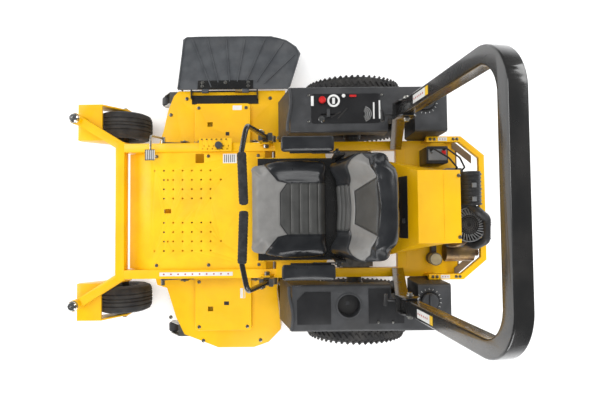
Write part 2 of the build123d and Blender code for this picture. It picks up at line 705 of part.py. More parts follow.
with BuildPart() as deck_shell:
    plate(deck_outline, (deck_skirt, deck_top))
    with BuildSketch(Plane.XY.offset(deck_skirt)) as cavity:
        with BuildLine():
            Polyline(*deck_outline, close=True)
        make_face()
        offset(amount=-deck_sheet, kind=Kind.INTERSECTION, mode=Mode.REPLACE)
    extrude(cavity.sketch, amount=deck_top - deck_sheet - deck_skirt, mode=Mode.SUBTRACT)
    block((deck_right - 5, deck_right + 8), outlet_y, (deck_skirt + 12, deck_top - 20), Mode.SUBTRACT)
    for x, y in spindles.values():
        rod((x, y, deck_top - 20), (x, y, deck_top + 5), 32, Mode.SUBTRACT)
save(deck_shell, "deck_shell")

with BuildPart() as spindle_housings:
    for x, y in spindles.values():
        rod((x, y, deck_top), (x, y, deck_top + 10), 70)
        rod((x, y, deck_top - 75), (x, y, deck_top), 31)
        rod((x, y, deck_top - 90), (x, y, deck_top + 20), spindle_radius + fit, Mode.SUBTRACT)

with BuildPart() as belt_covers:
    for x, y in (((-657, -395), (-640, -300)), ((400, 723), (-640, -300))):
        block(x, y, (deck_top, cover_top))
    fillet(belt_covers.edges().filter_by(Axis.Z), 18)
    chamfer(belt_covers.faces().group_by(Axis.Z)[-1].edges(), 2.5)
    block((-654, -390), (-637, -303), (deck_top - 1, cover_top - 3), Mode.SUBTRACT)
    block((395, 720), (-637, -303), (deck_top - 1, cover_top - 3), Mode.SUBTRACT)
    for x in (-528, 593):
        block((x - 14, x + 14), (-562, -530), (cover_top - 10, cover_top + 5), Mode.SUBTRACT)
save(belt_covers, "belt_covers")

with BuildPart() as hanger_links:
    for side in (-1, 1):
        for shaft_y, reach in lift_pins.values():
            y = shaft_y + reach * slot_reach
            block((side * link_x[0], side * link_x[1]), (y - 22, y + 22), (deck_top, 388))
            block((side * (link_x[0] - 14), side * (link_x[1] + 10)), (y - 22, y + 22),
                  (deck_top, deck_top + 6))
            for shift in (-link_shift, link_shift):
                slot_z = lift_shaft_z - pin_drop
                rod((side * (link_x[0] - 5), y + shift, slot_z), (side * (link_x[1] + 9), y + shift, slot_z),
                    pin_radius + link_gap, Mode.SUBTRACT)
            block((side * (link_x[0] - 5), side * (link_x[1] + 9)), (y - link_shift, y + link_shift),
                  (lift_shaft_z - pin_drop - pin_radius - link_gap,
                   lift_shaft_z - pin_drop + pin_radius + link_gap), Mode.SUBTRACT)

belt_z = (262, 274)
with BuildPart() as deck_belt:
    centres = list(spindles.values())
    for radius, mode in ((pulley_radius - 6 + gap + 8, Mode.ADD), (pulley_radius - 6 + gap, Mode.SUBTRACT)):
        with BuildSketch(Plane.XY.offset(belt_z[0])) as loop:
            with Locations(*centres):
                Circle(radius)
            make_hull()
        extrude(loop.sketch, amount=belt_z[1] - belt_z[0], mode=mode)
save(deck_belt, "deck_belt")

for name, (x, y) in spindles.items():
    with BuildPart() as spindle:
        rod((x, y, 92), (x, y, 284), spindle_radius)
        rod((x, y, 92), (x, y, 98), 24)
        rod((x, y, 106), (x, y, deck_top - 76), 24)
        rod((x, y, 252), (x, y, belt_z[0] - 1), pulley_radius)
        rod((x, y, belt_z[0] - 2), (x, y, belt_z[1] + 2), pulley_radius - 6)
        rod((x, y, belt_z[1] + 1), (x, y, belt_z[1] + 4), pulley_radius)
    with BuildPart() as blade:
        with BuildSketch(Plane.XY.offset(98)) as bar:
            with Locations((x, y)):
                Rectangle(63, 2 * sqrt(blade_radius ** 2 - 32 ** 2))
                Circle(spindle_radius + fit, mode=Mode.SUBTRACT)
        extrude(bar.sketch, amount=8)
    save_group((spindle, blade), f"spindle_{name}")

# ---- Front gauge rollers ---------------------------------------------------------------------------
rollers = {"right": (-716, -860), "left": (737, -815)}
roller_z = 105
for name, (x, y) in rollers.items():
    with BuildPart() as roller_wheel:
        turned([(-28, 8 + fit), (28, 8 + fit), (28, 26), (20, 32), (-20, 32), (-28, 26)], x, y, roller_z)
    save(roller_wheel, f"gauge_roller_{name}")

with BuildPart() as roller_brackets:
    for name, (x, y) in rollers.items():
        edge_y = -783 if name == "right" else -727
        rod((x - 38, y, roller_z), (x + 38, y, roller_z), 8)
        for flank in (-1, 1):
            side_plate([(edge_y + 60, 210), (edge_y + 60, 150), (y + 24, 92), (y - 14, 92), (y - 14, 125),
                        (edge_y - 34, 210)], (x + flank * 32, x + flank * 37))
        block((x - 37, x + 37), (edge_y - 34, edge_y + 60), (204, 210))
    plate(deck_outline, (deck_skirt, deck_top), Mode.SUBTRACT)
save_group((spindle_housings, hanger_links, roller_brackets), "deck_hardware")

# ---- Discharge chute ----------------------------------------------------------------------------------
chute_outline = [(-752, -751), (-866, -746), (-1122, -745), (chute_tip_x, -725), (chute_tip_x, -179), (-1108,
                                                                                                       -80),
                 (-1056, -14), (-1003, 12), (-884, -21), (-770, -54), (-752, -70)]
chute_low = 128
chute_rod = 5
knuckles = ((-600, -560), (-350, -310))
rod_ears = ((-668, -660), (-261, -253))

with BuildPart() as discharge_chute:
    front_plate([(-752, 264), (chute_tip_x, chute_low), (chute_tip_x, chute_low - chute_sheet),
                 (-752, 264 - chute_sheet)], (-760, 20))
    with BuildSketch(Plane.XY) as outline:
        with BuildLine():
            Polyline(*chute_outline, close=True)
        make_face()
    extrude(outline.sketch, amount=400, mode=Mode.INTERSECT)
    front_plate([(-770, 250), (-1120, 132), (-1120, 96), (-770, 150)], (-751, -745))
    for span in knuckles:
        block((-760, chute_hinge_x - 4), span, (chute_hinge_z - 14, chute_hinge_z - 4))
        rod((chute_hinge_x, span[0], chute_hinge_z), (chute_hinge_x, span[1], chute_hinge_z), 10)
        rod((chute_hinge_x, span[0] - 1, chute_hinge_z), (chute_hinge_x, span[1] + 1, chute_hinge_z),
            chute_rod + fit, Mode.SUBTRACT)
save(discharge_chute, "discharge_chute")

with BuildPart() as chute_bracket:
    block((-720, -665), (-668, -253), (deck_top, deck_top + 5))
    for span in rod_ears:
        block((-748, -690), span, (deck_top, deck_top + 42))
    rod((chute_hinge_x, rod_ears[0][0], chute_hinge_z), (chute_hinge_x, rod_ears[1][1], chute_hinge_z),
        chute_rod)
save(chute_bracket, "chute_bracket")

# ---- Deck lift ------------------------------------------------------------------------------------------
for name, (shaft_y, reach) in lift_pins.items():
    with BuildPart() as lift_shaft:
        far = rail_outer + 42
        rod((-far, shaft_y, lift_shaft_z), (far, shaft_y, lift_shaft_z), lift_shaft_radius)
        pin_y = shaft_y + reach * pin_reach
        pin_z = lift_shaft_z - pin_drop
        for side in (-1, 1):
            with BuildSketch(Plane.YZ.offset(min(side * arm_x0, side * arm_x1))) as lever:
                with Locations((shaft_y, lift_shaft_z), (pin_y, pin_z)):
                    Circle(14)
                make_hull()
            extrude(lever.sketch, amount=arm_x1 - arm_x0)
            rod((side * arm_x0, pin_y, pin_z), (side * (arm_x1 + 16), pin_y, pin_z), pin_radius)
        if name == "front":
            pipe([(-425, shaft_y, lift_shaft_z), (-425, shaft_y - 42, 497), (-400, shaft_y - 42, 505),
                  (-300, shaft_y - 42, 505)], 9, 6)
            block((-344, -283), (-870, -815), (508, 517))
    save(lift_shaft, "lift_pedal" if name == "front" else "rear_lift_shaft")

selector_x = (-413, -338)
selector_y = (-578, -389)
selector_z = 458
selector_hole = (-369, -460)
with BuildPart() as height_selector:
    block(selector_x, selector_y, (selector_z, selector_z + 5))
    block((-389, -383), selector_y, (rail_top, selector_z))
    block((-347, -341), selector_y, (rail_top, selector_z))
    for row, x in enumerate((-352, -369, -400)):
        for k in range(6):
            with Locations((x, selector_y[0] + 22 + k * 28 + (8 if row == 1 else 0), 0)):
                Cylinder(4, 2000, mode=Mode.SUBTRACT)
    rod((*selector_hole, rail_top), (*selector_hole, rail_top + 40), 5 + fit, Mode.SUBTRACT)
save(height_selector, "height_selector")

with BuildPart() as height_pin:
    rod((*selector_hole, rail_top + 1), (*selector_hole, selector_z + 25), 5)
    rod((*selector_hole, selector_z + 5), (*selector_hole, selector_z + 42), 20)
save(height_pin, "height_pin")

# ---- Engine and its cover ------------------------------------------------------------------------------------
engine_y = (620, 948)
engine_z = (rail_top, 620)
engine_half = 170
fan_at = (93, 877)
fan_radius = 90
filter_radius = 52
filter_y = 880
filter_z = 722
crank_radius = 14

with BuildPart() as engine_block:
    block((-engine_half, engine_half), engine_y, engine_z)
    chamfer(engine_block.edges().filter_by(Axis.Z), 30)
    rod((285, 749, 452), (285, 749, 540), 34)
    block((150, 285), (735, 763), (460, 500))
    rod((0, clutch_y, 362), (0, clutch_y, engine_z[0] + 5), crank_radius)
save(engine_block, "engine_block")

with BuildPart() as blower_housing:
    rod((*fan_at, engine_z[1]), (*fan_at, 700), fan_radius)
    rod((*fan_at, engine_z[1] + 6), (*fan_at, 705), fan_radius - 12, Mode.SUBTRACT)
    rod((*fan_at, engine_z[1]), (*fan_at, 690), 30)
save(blower_housing, "blower_housing")

with BuildPart() as air_filter:
    rod((-180, filter_y, filter_z), (-8, filter_y, filter_z), filter_radius)
    block((-150, -60), (filter_y - 30, filter_y + 30), (engine_z[1], filter_z))
save(air_filter, "air_filter")

with BuildPart() as intake_hose:
    pipe([(-8, filter_y, filter_z), (24, filter_y + 30, filter_z + 20), (60, 968, filter_z - 20), (175, 968,
                                                                                                   690),
          (206, 930, 640), (180, 890, 600)], 26, 22)
    rod((-260, filter_y, filter_z), (-4, filter_y, filter_z), filter_radius + 4, Mode.SUBTRACT)
    rod((*fan_at, engine_z[1] - 10), (*fan_at, 705), fan_radius + 1, Mode.SUBTRACT)
    block((-engine_half - 1, engine_half + 1), (600, engine_y[1] + 1), (400, engine_z[1] + 1), Mode.SUBTRACT)
save(intake_hose, "intake_hose")

with BuildPart() as muffler:
    rod((250, 800, 520), (250, 955, 520), 48)
    rod((250, 955, 520), (250, 985, 520), 20)
    block((engine_half, 215), (850, 900), (505, 535))
save(muffler, "muffler")

with BuildPart() as battery:
    block((-334, -240), (693, 808), (rail_top, 600))
    fillet(battery.edges().filter_by(Axis.Z), 6)
    for y in (715, 785):
        rod((-315, y, 600), (-315, y, 612), 8)
save(battery, "battery")

cable_radius = 4.5
cable_routes = [[(-315, 715, 612), (-315, 715, 648), (-262, 790, 668), (-215, 850, 620), (-206, 856, 562),
                 (-engine_half, 856, 562)],
                [(-315, 785, 612), (-315, 785, 650), (-262, 850, 664), (-215, 890, 620), (-206, 894, 566),
                 (-engine_half, 894, 566)]]
cables = []
for route in cable_routes:
    with BuildPart() as cable:
        pipe(route, 14, cable_radius)
    cables.append(cable)
save_group(cables, "battery_cables")

cover_half = 178
cover_y = (574, 783)
cover_z = 860
cover_sheet = 3
with BuildPart() as engine_cover:
    for inset, mode in ((0, Mode.ADD), (cover_sheet, Mode.SUBTRACT)):
        with BuildSketch(Plane.XY.offset(cover_z - inset)) as top:
            with Locations((0, (cover_y[0] + cover_y[1]) / 2)):
                Rectangle(2 * (cover_half - inset), cover_y[1] - cover_y[0] - 2 * inset)
        with BuildSketch(Plane.XY.offset(640 - (1 if inset else 0))) as base:
            with BuildLine():
                Polyline((-250 + inset, 470 + inset), (250 - inset, 470 + inset),
                         (cover_half + 10 - inset, cover_y[1] - inset), (-cover_half - 10 + inset,
                                                                         cover_y[1] - inset), close=True)
            make_face()
        loft([base.sketch.face(), top.sketch.face()], mode=mode)
    for side in (-1, 1):
        block((side * 198, side * 204), (640, 680), (rail_top, 692))
save(engine_cover, "engine_cover")

with BuildPart() as pto_clutch:
    rod((0, clutch_y, 372), (0, clutch_y, 432), 55)
    rod((0, clutch_y, 366), (0, clutch_y, 372), 66)
    rod((0, clutch_y, 360), (0, clutch_y, 440), crank_radius + fit, Mode.SUBTRACT)
save(pto_clutch, "pto_clutch")
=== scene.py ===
import bpy
import json
import math
from mathutils import Matrix, Vector

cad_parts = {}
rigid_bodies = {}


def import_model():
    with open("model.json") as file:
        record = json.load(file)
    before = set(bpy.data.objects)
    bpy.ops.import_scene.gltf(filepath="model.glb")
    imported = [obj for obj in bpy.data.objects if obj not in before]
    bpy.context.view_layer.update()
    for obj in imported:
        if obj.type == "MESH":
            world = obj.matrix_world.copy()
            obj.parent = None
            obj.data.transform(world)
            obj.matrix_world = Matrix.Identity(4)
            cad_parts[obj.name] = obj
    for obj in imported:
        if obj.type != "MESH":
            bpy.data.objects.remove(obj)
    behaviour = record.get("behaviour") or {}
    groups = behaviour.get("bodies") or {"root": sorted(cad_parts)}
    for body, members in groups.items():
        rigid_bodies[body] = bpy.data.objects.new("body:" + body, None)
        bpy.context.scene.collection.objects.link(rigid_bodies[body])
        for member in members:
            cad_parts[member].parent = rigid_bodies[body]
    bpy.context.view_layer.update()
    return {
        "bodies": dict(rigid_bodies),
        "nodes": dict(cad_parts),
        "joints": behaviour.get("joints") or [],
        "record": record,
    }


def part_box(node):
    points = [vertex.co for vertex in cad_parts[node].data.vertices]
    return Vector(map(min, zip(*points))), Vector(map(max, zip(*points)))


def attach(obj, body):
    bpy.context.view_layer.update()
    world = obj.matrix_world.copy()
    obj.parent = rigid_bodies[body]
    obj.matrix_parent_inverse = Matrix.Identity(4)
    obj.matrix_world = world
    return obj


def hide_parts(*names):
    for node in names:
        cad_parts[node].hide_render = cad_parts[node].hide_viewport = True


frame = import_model()
nodes = frame["nodes"]
print("frame loaded:", len(nodes), "nodes")
# the drawing's own zero, on the ground under the machine's mid-plane, seen from the frame's origin
zeroX = (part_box("main_frame")[0][0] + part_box("main_frame")[1][0]) / 2
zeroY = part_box("main_frame")[1][1] - 0.9


def at(x, y, z):
    # a place on the machine, in metres from its own zero
    return Vector((x + zeroX, y + zeroY, z))


# ---- camera, light and floor ----
camera = {"lens": 28, "height": 3.13, "x": 0.047, "tilt": 2.15, "roll": 0.57}


def addCamera():
    tilt = math.radians(camera["tilt"])
    roll = math.radians(camera["roll"])
    right = Vector((0, 1, 0))
    up = Vector((-math.cos(tilt), 0, math.sin(tilt)))
    back = right.cross(up)
    turnedRight = right * math.cos(roll) - up * math.sin(roll)
    turnedUp = up * math.cos(roll) + right * math.sin(roll)
    data = bpy.data.cameras.new("topCamera")
    data.lens = camera["lens"]
    data.sensor_width = 36
    data.clip_end = 100
    eye = bpy.data.objects.new("topCamera", data)
    bpy.context.collection.objects.link(eye)
    turn = Matrix((turnedRight, turnedUp, back)).transposed().to_4x4()
    eye.matrix_world = Matrix.Translation(at(camera["x"], 0, camera["height"])) @ turn
    bpy.context.scene.camera = eye


lamps = {
    "overhead": {"place": (0, 0, 6.5), "aim": (0, 0, 0), "size": 6, "power": 290},
    "front": {"place": (-1.5, -6, 3.2), "aim": (0, 0, 0.5), "size": 3.5, "power": 190},
    "left": {"place": (5.5, 1.0, 3.4), "aim": (0, 0, 0.5), "size": 3.5, "power": 170},
    "rear": {"place": (-3.5, 5.5, 3.5), "aim": (0, 0, 0.6), "size": 3.0, "power": 130},
}


def addLights():
    for name, lamp in lamps.items():
        data = bpy.data.lights.new(name, "AREA")
        data.shape = "SQUARE"
        data.size = lamp["size"]
        data.energy = lamp["power"]
        light = bpy.data.objects.new(name, data)
        bpy.context.collection.objects.link(light)
        light.location = lamp["place"]
        aim = Vector(lamp["aim"]) - Vector(lamp["place"])
        light.rotation_euler = aim.to_track_quat("-Z", "Y").to_euler()
        light.visible_glossy = name != "overhead"
    world = bpy.data.worlds.new("studio")
    world.use_nodes = True
    world.node_tree.nodes["Background"].inputs[0].default_value = (0.9, 0.92, 0.95, 1)
    # mirror-like reflections see a dimmer room, so black paint stays black
    tree = world.node_tree
    path = tree.nodes.new("ShaderNodeLightPath")
    dim = tree.nodes.new("ShaderNodeMapRange")
    dim.inputs["To Min"].default_value = 0.50
    dim.inputs["To Max"].default_value = 0.13
    tree.links.new(path.outputs["Is Glossy Ray"], dim.inputs["Value"])
    tree.links.new(dim.outputs[0], tree.nodes["Background"].inputs["Strength"])
    bpy.context.scene.world = world
    bpy.context.scene.view_settings.view_transform = "Standard"


def addFloor():
    bpy.ops.mesh.primitive_plane_add(size=40, location=(0, 0, -0.001))
    ground = bpy.context.object
    ground.name = "studioFloor"
    mat = bpy.data.materials.new("studioFloor")
    mat.use_nodes = True
    shader = mat.node_tree.nodes["Principled BSDF"]
    shader.inputs["Base Color"].default_value = (0.93, 0.93, 0.93, 1)
    shader.inputs["Roughness"].default_value = 0.8
    shader.inputs["Emission Color"].default_value = (1, 1, 1, 1)
    shader.inputs["Emission Strength"].default_value = 0.22
    ground.data.materials.append(mat)


# ---- shader maths ----
class Sig:
    # one socket in a node tree, with arithmetic
    def __init__(self, tree, socket):
        self.tree = tree
        self.socket = socket

    def math(self, operation, *others):
        made = self.tree.nodes.new("ShaderNodeMath")
        made.operation = operation
        self.tree.links.new(self.socket, made.inputs[0])
        for index, other in enumerate(others, 1):
            if isinstance(other, Sig):
                self.tree.links.new(other.socket, made.inputs[index])
            else:
                made.inputs[index].default_value = other
        return Sig(self.tree, made.outputs[0])

    def __add__(self, other):
        return self.math("ADD", other)

    def __mul__(self, other):
        return self.math("MULTIPLY", other)

    __radd__ = __add__
    __rmul__ = __mul__

    def ramp(self, low, high):
        # 0 below low, 1 above high, smooth between
        made = self.tree.nodes.new("ShaderNodeMapRange")
        made.interpolation_type = "SMOOTHSTEP"
        self.tree.links.new(self.socket, made.inputs["Value"])
        made.inputs["From Min"].default_value = low
        made.inputs["From Max"].default_value = high
        return Sig(self.tree, made.outputs[0])


class Finish:
    # one material and the short words that build it
    def __init__(self, name, **settings):
        self.mat = bpy.data.materials.new(name)
        self.mat.use_nodes = True
        self.tree = self.mat.node_tree
        self.shader = self.tree.nodes["Principled BSDF"]
        for socket, value in settings.items():
            self.shader.inputs[socket.replace("_", " ")].default_value = value
        self.coords = self.tree.nodes.new("ShaderNodeTexCoord").outputs["Object"]

    def node(self, kind, settings=None, **values):
        made = self.tree.nodes.new("ShaderNode" + kind)
        for key, value in (settings or {}).items():
            setattr(made, key, value)
        for key, value in values.items():
            socket = made.inputs[key.replace("_", " ")]
            if isinstance(value, Sig):
                self.tree.links.new(value.socket, socket)
            elif hasattr(value, "is_linked"):
                self.tree.links.new(value, socket)
            else:
                socket.default_value = value
        return made

    def noise(self, scale, detail=3, rough=0.55):
        made = self.node("TexNoise", Vector=self.coords, Scale=scale, Detail=detail, Roughness=rough)
        return Sig(self.tree, made.outputs["Fac"])

    def cells(self, scale):
        made = self.node("TexVoronoi", Vector=self.coords, Scale=scale)
        return Sig(self.tree, made.outputs["Distance"])

    def facing(self, letter):
        geometry = self.tree.nodes.new("ShaderNodeNewGeometry")
        made = self.node("SeparateXYZ", Vector=geometry.outputs["Normal"])
        return Sig(self.tree, made.outputs[letter])

    def mix(self, factor, first, second):
        made = self.tree.nodes.new("ShaderNodeMix")
        made.data_type = "RGBA"
        self.tree.links.new(factor.socket, made.inputs["Factor"])
        for socket, value in ((made.inputs[6], first), (made.inputs[7], second)):
            if isinstance(value, Sig):
                self.tree.links.new(value.socket, socket)
            else:
                socket.default_value = (*value, 1)
        return Sig(self.tree, made.outputs[2])

    def feed(self, socket, signal):
        self.tree.links.new(signal.socket, self.shader.inputs[socket])

    def bump(self, height, strength, distance):
        made = self.node("Bump", Strength=strength, Distance=distance, Height=height)
        self.tree.links.new(made.outputs["Normal"], self.shader.inputs["Normal"])


finishes = {}


def speckled(name, base, second, scale=14.0, rough=(0.3, 0.45), grain=None, metal=0.0, dust=None, coat=0.0):
    # a two-tone finish: broad colour change, uneven gloss, fine bump, and dust where it faces up
    made = Finish(name, Metallic=metal, Coat_Weight=coat, Coat_Roughness=0.12)
    broad = made.noise(scale, 4)
    colour = made.mix(broad.ramp(0.35, 0.68), base, second)
    if dust:
        up = made.facing("Z").ramp(0.2, 0.95)
        patch = made.noise(scale * 0.45, 6, 0.62).ramp(0.42, 0.78)
        colour = made.mix(up * patch * dust[1], colour, dust[0])
    made.feed("Base Color", colour)
    made.feed("Roughness", made.noise(scale * 3, 5) * (rough[1] - rough[0]) + rough[0])
    if grain:
        made.bump(made.noise(grain[0], 2) if grain[2] else made.cells(grain[0]), grain[1], 0.0006)
    finishes[name] = made.mat
    return made


def makeFinishes():
    dustBrown = (0.30, 0.22, 0.12)
    speckled("yellowPaint", (0.90, 0.50, 0.0), (0.83, 0.44, 0.0), 5, (0.3, 0.44), (900, 0.05, True),
             dust=(dustBrown, 0.05), coat=0.1)
    speckled("floorPaint", (0.92, 0.53, 0.0), (0.84, 0.46, 0.0), 7, (0.4, 0.6), (700, 0.10, True),
             dust=(dustBrown, 0.10))
    # dark brown that stands for yellow paint in deep shade: painted shade, used on the rear bumper and the
    # plates behind the wheels
    speckled("paintedShadeBrown", (0.22, 0.15, 0.08), (0.13, 0.09, 0.06), 9, (0.4, 0.6), (500, 0.15, True))
    speckled("tyreRubber", (0.022, 0.022, 0.023), (0.04, 0.038, 0.036), 18, (0.68, 0.88), (420, 0.35, True),
             dust=((0.12, 0.11, 0.10), 0.35))
    speckled("rimBlack", (0.02, 0.02, 0.021), (0.035, 0.034, 0.033), 12, (0.3, 0.5), (600, 0.1, True))
    speckled("podPlastic", (0.036, 0.037, 0.039), (0.052, 0.053, 0.056), 10, (0.42, 0.56),
             (1300, 0.28, False),
             dust=((0.13, 0.12, 0.11), 0.12))
    speckled("chutePlastic", (0.058, 0.062, 0.068), (0.085, 0.09, 0.096), 9, (0.45, 0.62), (800, 0.25, True),
             dust=((0.17, 0.16, 0.15), 0.2))
    speckled("powderBlack", (0.012, 0.012, 0.012), (0.022, 0.021, 0.02), 6, (0.2, 0.32), (1100, 0.10, True),
             coat=0.6)
    speckled("foamBlack", (0.018, 0.018, 0.019), (0.03, 0.03, 0.031), 40, (0.7, 0.9), (1500, 0.5, False))
    speckled("zincSteel", (0.55, 0.54, 0.50), (0.42, 0.41, 0.38), 30, (0.26, 0.46), (900, 0.1, True),
             metal=1.0)
    speckled("brightSteel", (0.72, 0.72, 0.71), (0.60, 0.60, 0.59), 40, (0.14, 0.3), (900, 0.05, True),
             metal=1.0)
    speckled("goldSteel", (0.62, 0.45, 0.18), (0.5, 0.34, 0.12), 30, (0.25, 0.42), (900, 0.1, True),
             metal=1.0)
    speckled("castDark", (0.06, 0.06, 0.062), (0.11, 0.105, 0.10), 25, (0.45, 0.7), (600, 0.5, True),
             metal=0.4)
    speckled("castGrey", (0.28, 0.28, 0.27), (0.18, 0.18, 0.18), 25, (0.38, 0.6), (600, 0.5, True), metal=0.7)
    speckled("enginePlastic", (0.018, 0.018, 0.019), (0.03, 0.03, 0.031), 12, (0.35, 0.5), (1100, 0.2, False))
    speckled("louvreGrey", (0.16, 0.165, 0.17), (0.11, 0.112, 0.115), 12, (0.35, 0.5), (1100, 0.15, False))
    speckled("beltRubber", (0.02, 0.02, 0.02), (0.03, 0.03, 0.03), 30, (0.7, 0.85), (700, 0.2, True))
    speckled("hotMetal", (0.42, 0.28, 0.13), (0.20, 0.14, 0.10), 16, (0.3, 0.55), (500, 0.2, True), metal=0.9)
    speckled("filterTan", (0.45, 0.38, 0.22), (0.36, 0.30, 0.18), 20, (0.4, 0.55), (700, 0.1, True))
    speckled("redPlastic", (0.55, 0.012, 0.012), (0.42, 0.01, 0.01), 20, (0.25, 0.35), (900, 0.05, True))
    speckled("redPaint", (0.45, 0.02, 0.015), (0.35, 0.018, 0.012), 20, (0.4, 0.5), (900, 0.05, True))
    speckled("decalWhite", (0.72, 0.72, 0.70), (0.64, 0.64, 0.62), 12, (0.3, 0.42), (900, 0.03, True))
    speckled("decalBlack", (0.015, 0.015, 0.016), (0.022, 0.022, 0.022), 12, (0.3, 0.42), (900, 0.03, True))
    speckled("decalYellow", (0.80, 0.50, 0.02), (0.74, 0.45, 0.02), 12, (0.3, 0.42), (900, 0.03, True))
    speckled("panelBlack", (0.014, 0.014, 0.015), (0.02, 0.02, 0.021), 8, (0.28, 0.4), (1200, 0.12, False))
    speckled("vinylGrey", (0.215, 0.21, 0.20), (0.185, 0.18, 0.172), 16, (0.38, 0.5), (520, 0.35, False),
             dust=((0.25, 0.24, 0.22), 0.1))
    speckled("vinylDark", (0.058, 0.058, 0.055), (0.045, 0.045, 0.043), 16, (0.42, 0.55), (520, 0.35, False))
    speckled("vinylBlack", (0.014, 0.015, 0.017), (0.022, 0.023, 0.025), 14, (0.24, 0.36), (480, 0.3, False),
             coat=0.15)
    print("finishes made:", len(finishes))


nodeFinish = {
    "yellowPaint": ["main_frame", "front_frame", "rear_guard", "engine_cover", "caster_fork_right",
                    "caster_fork_left", "deck_shell", "belt_covers"],
    "floorPaint": ["floor_pan"],
    # the rear bumper's dark brown is painted shade on yellow paint
    "paintedShadeBrown": ["rear_bumper"],
    "tyreRubber": ["caster_tyre_right", "caster_tyre_left", "drive_tyre_right", "drive_tyre_left"],
    "rimBlack": ["drive_rim_right", "drive_rim_left", "caster_rim_right", "caster_rim_left"],
    "castDark": ["hydro_units", "spindle_right", "spindle_centre", "spindle_left", "pto_clutch",
                 "engine_block"],
    "zincSteel": ["lever_pivot_right", "lever_pivot_left", "rear_lift_shaft", "deck_hardware", "lift_pedal"],
    "powderBlack": ["seat_platform", "rops_bases", "rops_hoop", "control_lever_right", "control_lever_left",
                    "chute_bracket"],
    "podPlastic": ["fender_right", "fender_left", "fuel_cap_right", "fuel_cap_left", "fuel_tanks",
                   "throttle_lever", "height_pin", "gauge_roller_right", "gauge_roller_left"],
    "panelBlack": ["fender_panels"],
    "decalYellow": ["height_selector"],
    "redPlastic": ["pto_knob"],
    "brightSteel": ["ignition_key"],
    "chutePlastic": ["discharge_chute"],
    "beltRubber": ["deck_belt", "battery_cables"],
    "enginePlastic": ["blower_housing", "air_filter", "intake_hose", "battery"],
    "hotMetal": ["muffler"],
    "vinylBlack": ["seat_cushion", "seat_back", "armrest_right", "armrest_left"],
}


def dress(piece, finish):
    # give a piece one finish all over
    piece.data.materials.clear()
    piece.data.materials.append(finishes[finish])


def dressNodes():
    for finish, names in nodeFinish.items():
        for name in names:
            nodes[name].data.materials.clear()
            nodes[name].data.materials.append(finishes[finish])


# ---- small modelling words ----
def deselect():
    if bpy.context.mode != "OBJECT":
        bpy.ops.object.mode_set(mode="OBJECT")
    bpy.ops.object.select_all(action="DESELECT")


def active(piece):
    deselect()
    piece.select_set(True)
    bpy.context.view_layer.objects.active = piece


def settle(piece):
    # put a finished piece's place into its mesh
    active(piece)
    bpy.ops.object.transform_apply(location=True, rotation=True, scale=True)


def finishPiece(piece, name, finish, body, angle=35):
    settle(piece)
    piece.name = name
    if finish:
        dress(piece, finish)
    bpy.ops.object.shade_smooth_by_angle(angle=math.radians(angle))
    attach(piece, body)
    return piece


def modify(piece, kind, **settings):
    active(piece)
    modifier = piece.modifiers.new(kind, kind)
    for key, value in settings.items():
        setattr(modifier, key, value)
    bpy.ops.object.modifier_apply(modifier=modifier.name)


def join(pieces, name):
    deselect()
    for piece in pieces:
        piece.select_set(True)
    bpy.context.view_layer.objects.active = pieces[0]
    bpy.ops.object.join()
    pieces[0].name = name
    return pieces[0]


def roundedBox(low, high, bevel=0.002, segments=2):
    # a box between two corners with rounded edges
    centre = (Vector(low) + Vector(high)) / 2
    bpy.ops.mesh.primitive_cube_add(size=1, location=centre)
    piece = bpy.context.object
    size = Vector(high) - Vector(low)
    piece.scale = [max(abs(s), 1e-5) for s in size]
    settle(piece)
    if bevel:
        modify(piece, "BEVEL", width=min(bevel, 0.45 * min(abs(s) for s in size)), segments=segments)
    return piece


def roundBar(start, end, radius, bevel=0.0, sides=24):
    # a cylinder from one point to another
    start, end = Vector(start), Vector(end)
    bpy.ops.mesh.primitive_cylinder_add(vertices=sides, radius=radius, depth=(end - start).length,
                                        location=(start + end) / 2)
    piece = bpy.context.object
    piece.rotation_euler = (end - start).to_track_quat("Z", "Y").to_euler()
    settle(piece)
    if bevel:
        modify(piece, "BEVEL", width=bevel, segments=2, limit_method="ANGLE", angle_limit=math.radians(50))
    return piece


def lathe(profile, start, along, sides=64):
    # spin (distance along the axis, radius) points about an axis
    along = Vector(along).normalized()
    across = along.orthogonal().normalized()
    mesh = bpy.data.meshes.new("lathe")
    start = Vector(start)
    points = [start + along * d + across * r for d, r in profile]
    mesh.from_pydata(points, [(i, i + 1) for i in range(len(points) - 1)], [])
    piece = bpy.data.objects.new("lathe", mesh)
    bpy.context.collection.objects.link(piece)
    active(piece)
    bpy.ops.object.mode_set(mode="EDIT")
    bpy.ops.mesh.select_all(action="SELECT")
    bpy.ops.mesh.spin(steps=sides, angle=math.tau, center=start, axis=along)
    bpy.ops.mesh.select_all(action="SELECT")
    bpy.ops.mesh.remove_doubles(threshold=0.00005)
    bpy.ops.mesh.normals_make_consistent(inside=False)
    bpy.ops.object.mode_set(mode="OBJECT")
    return piece


def bentPipe(points, radius, name="pipe", smooth=3, sides=6):
    # a round bar along a smooth line through a few points
    curve = bpy.data.curves.new(name, "CURVE")
    curve.dimensions = "3D"
    spline = curve.splines.new("NURBS")
    spline.points.add(len(points) - 1)
    for point, place in zip(spline.points, points):
        point.co = (*place, 1)
    spline.order_u = smooth
    spline.use_endpoint_u = True
    curve.resolution_u = 8
    curve.bevel_depth = radius
    curve.bevel_resolution = sides
    curve.use_fill_caps = True
    piece = bpy.data.objects.new(name, curve)
    bpy.context.collection.objects.link(piece)
    active(piece)
    bpy.ops.object.convert(target="MESH")
    return bpy.context.object


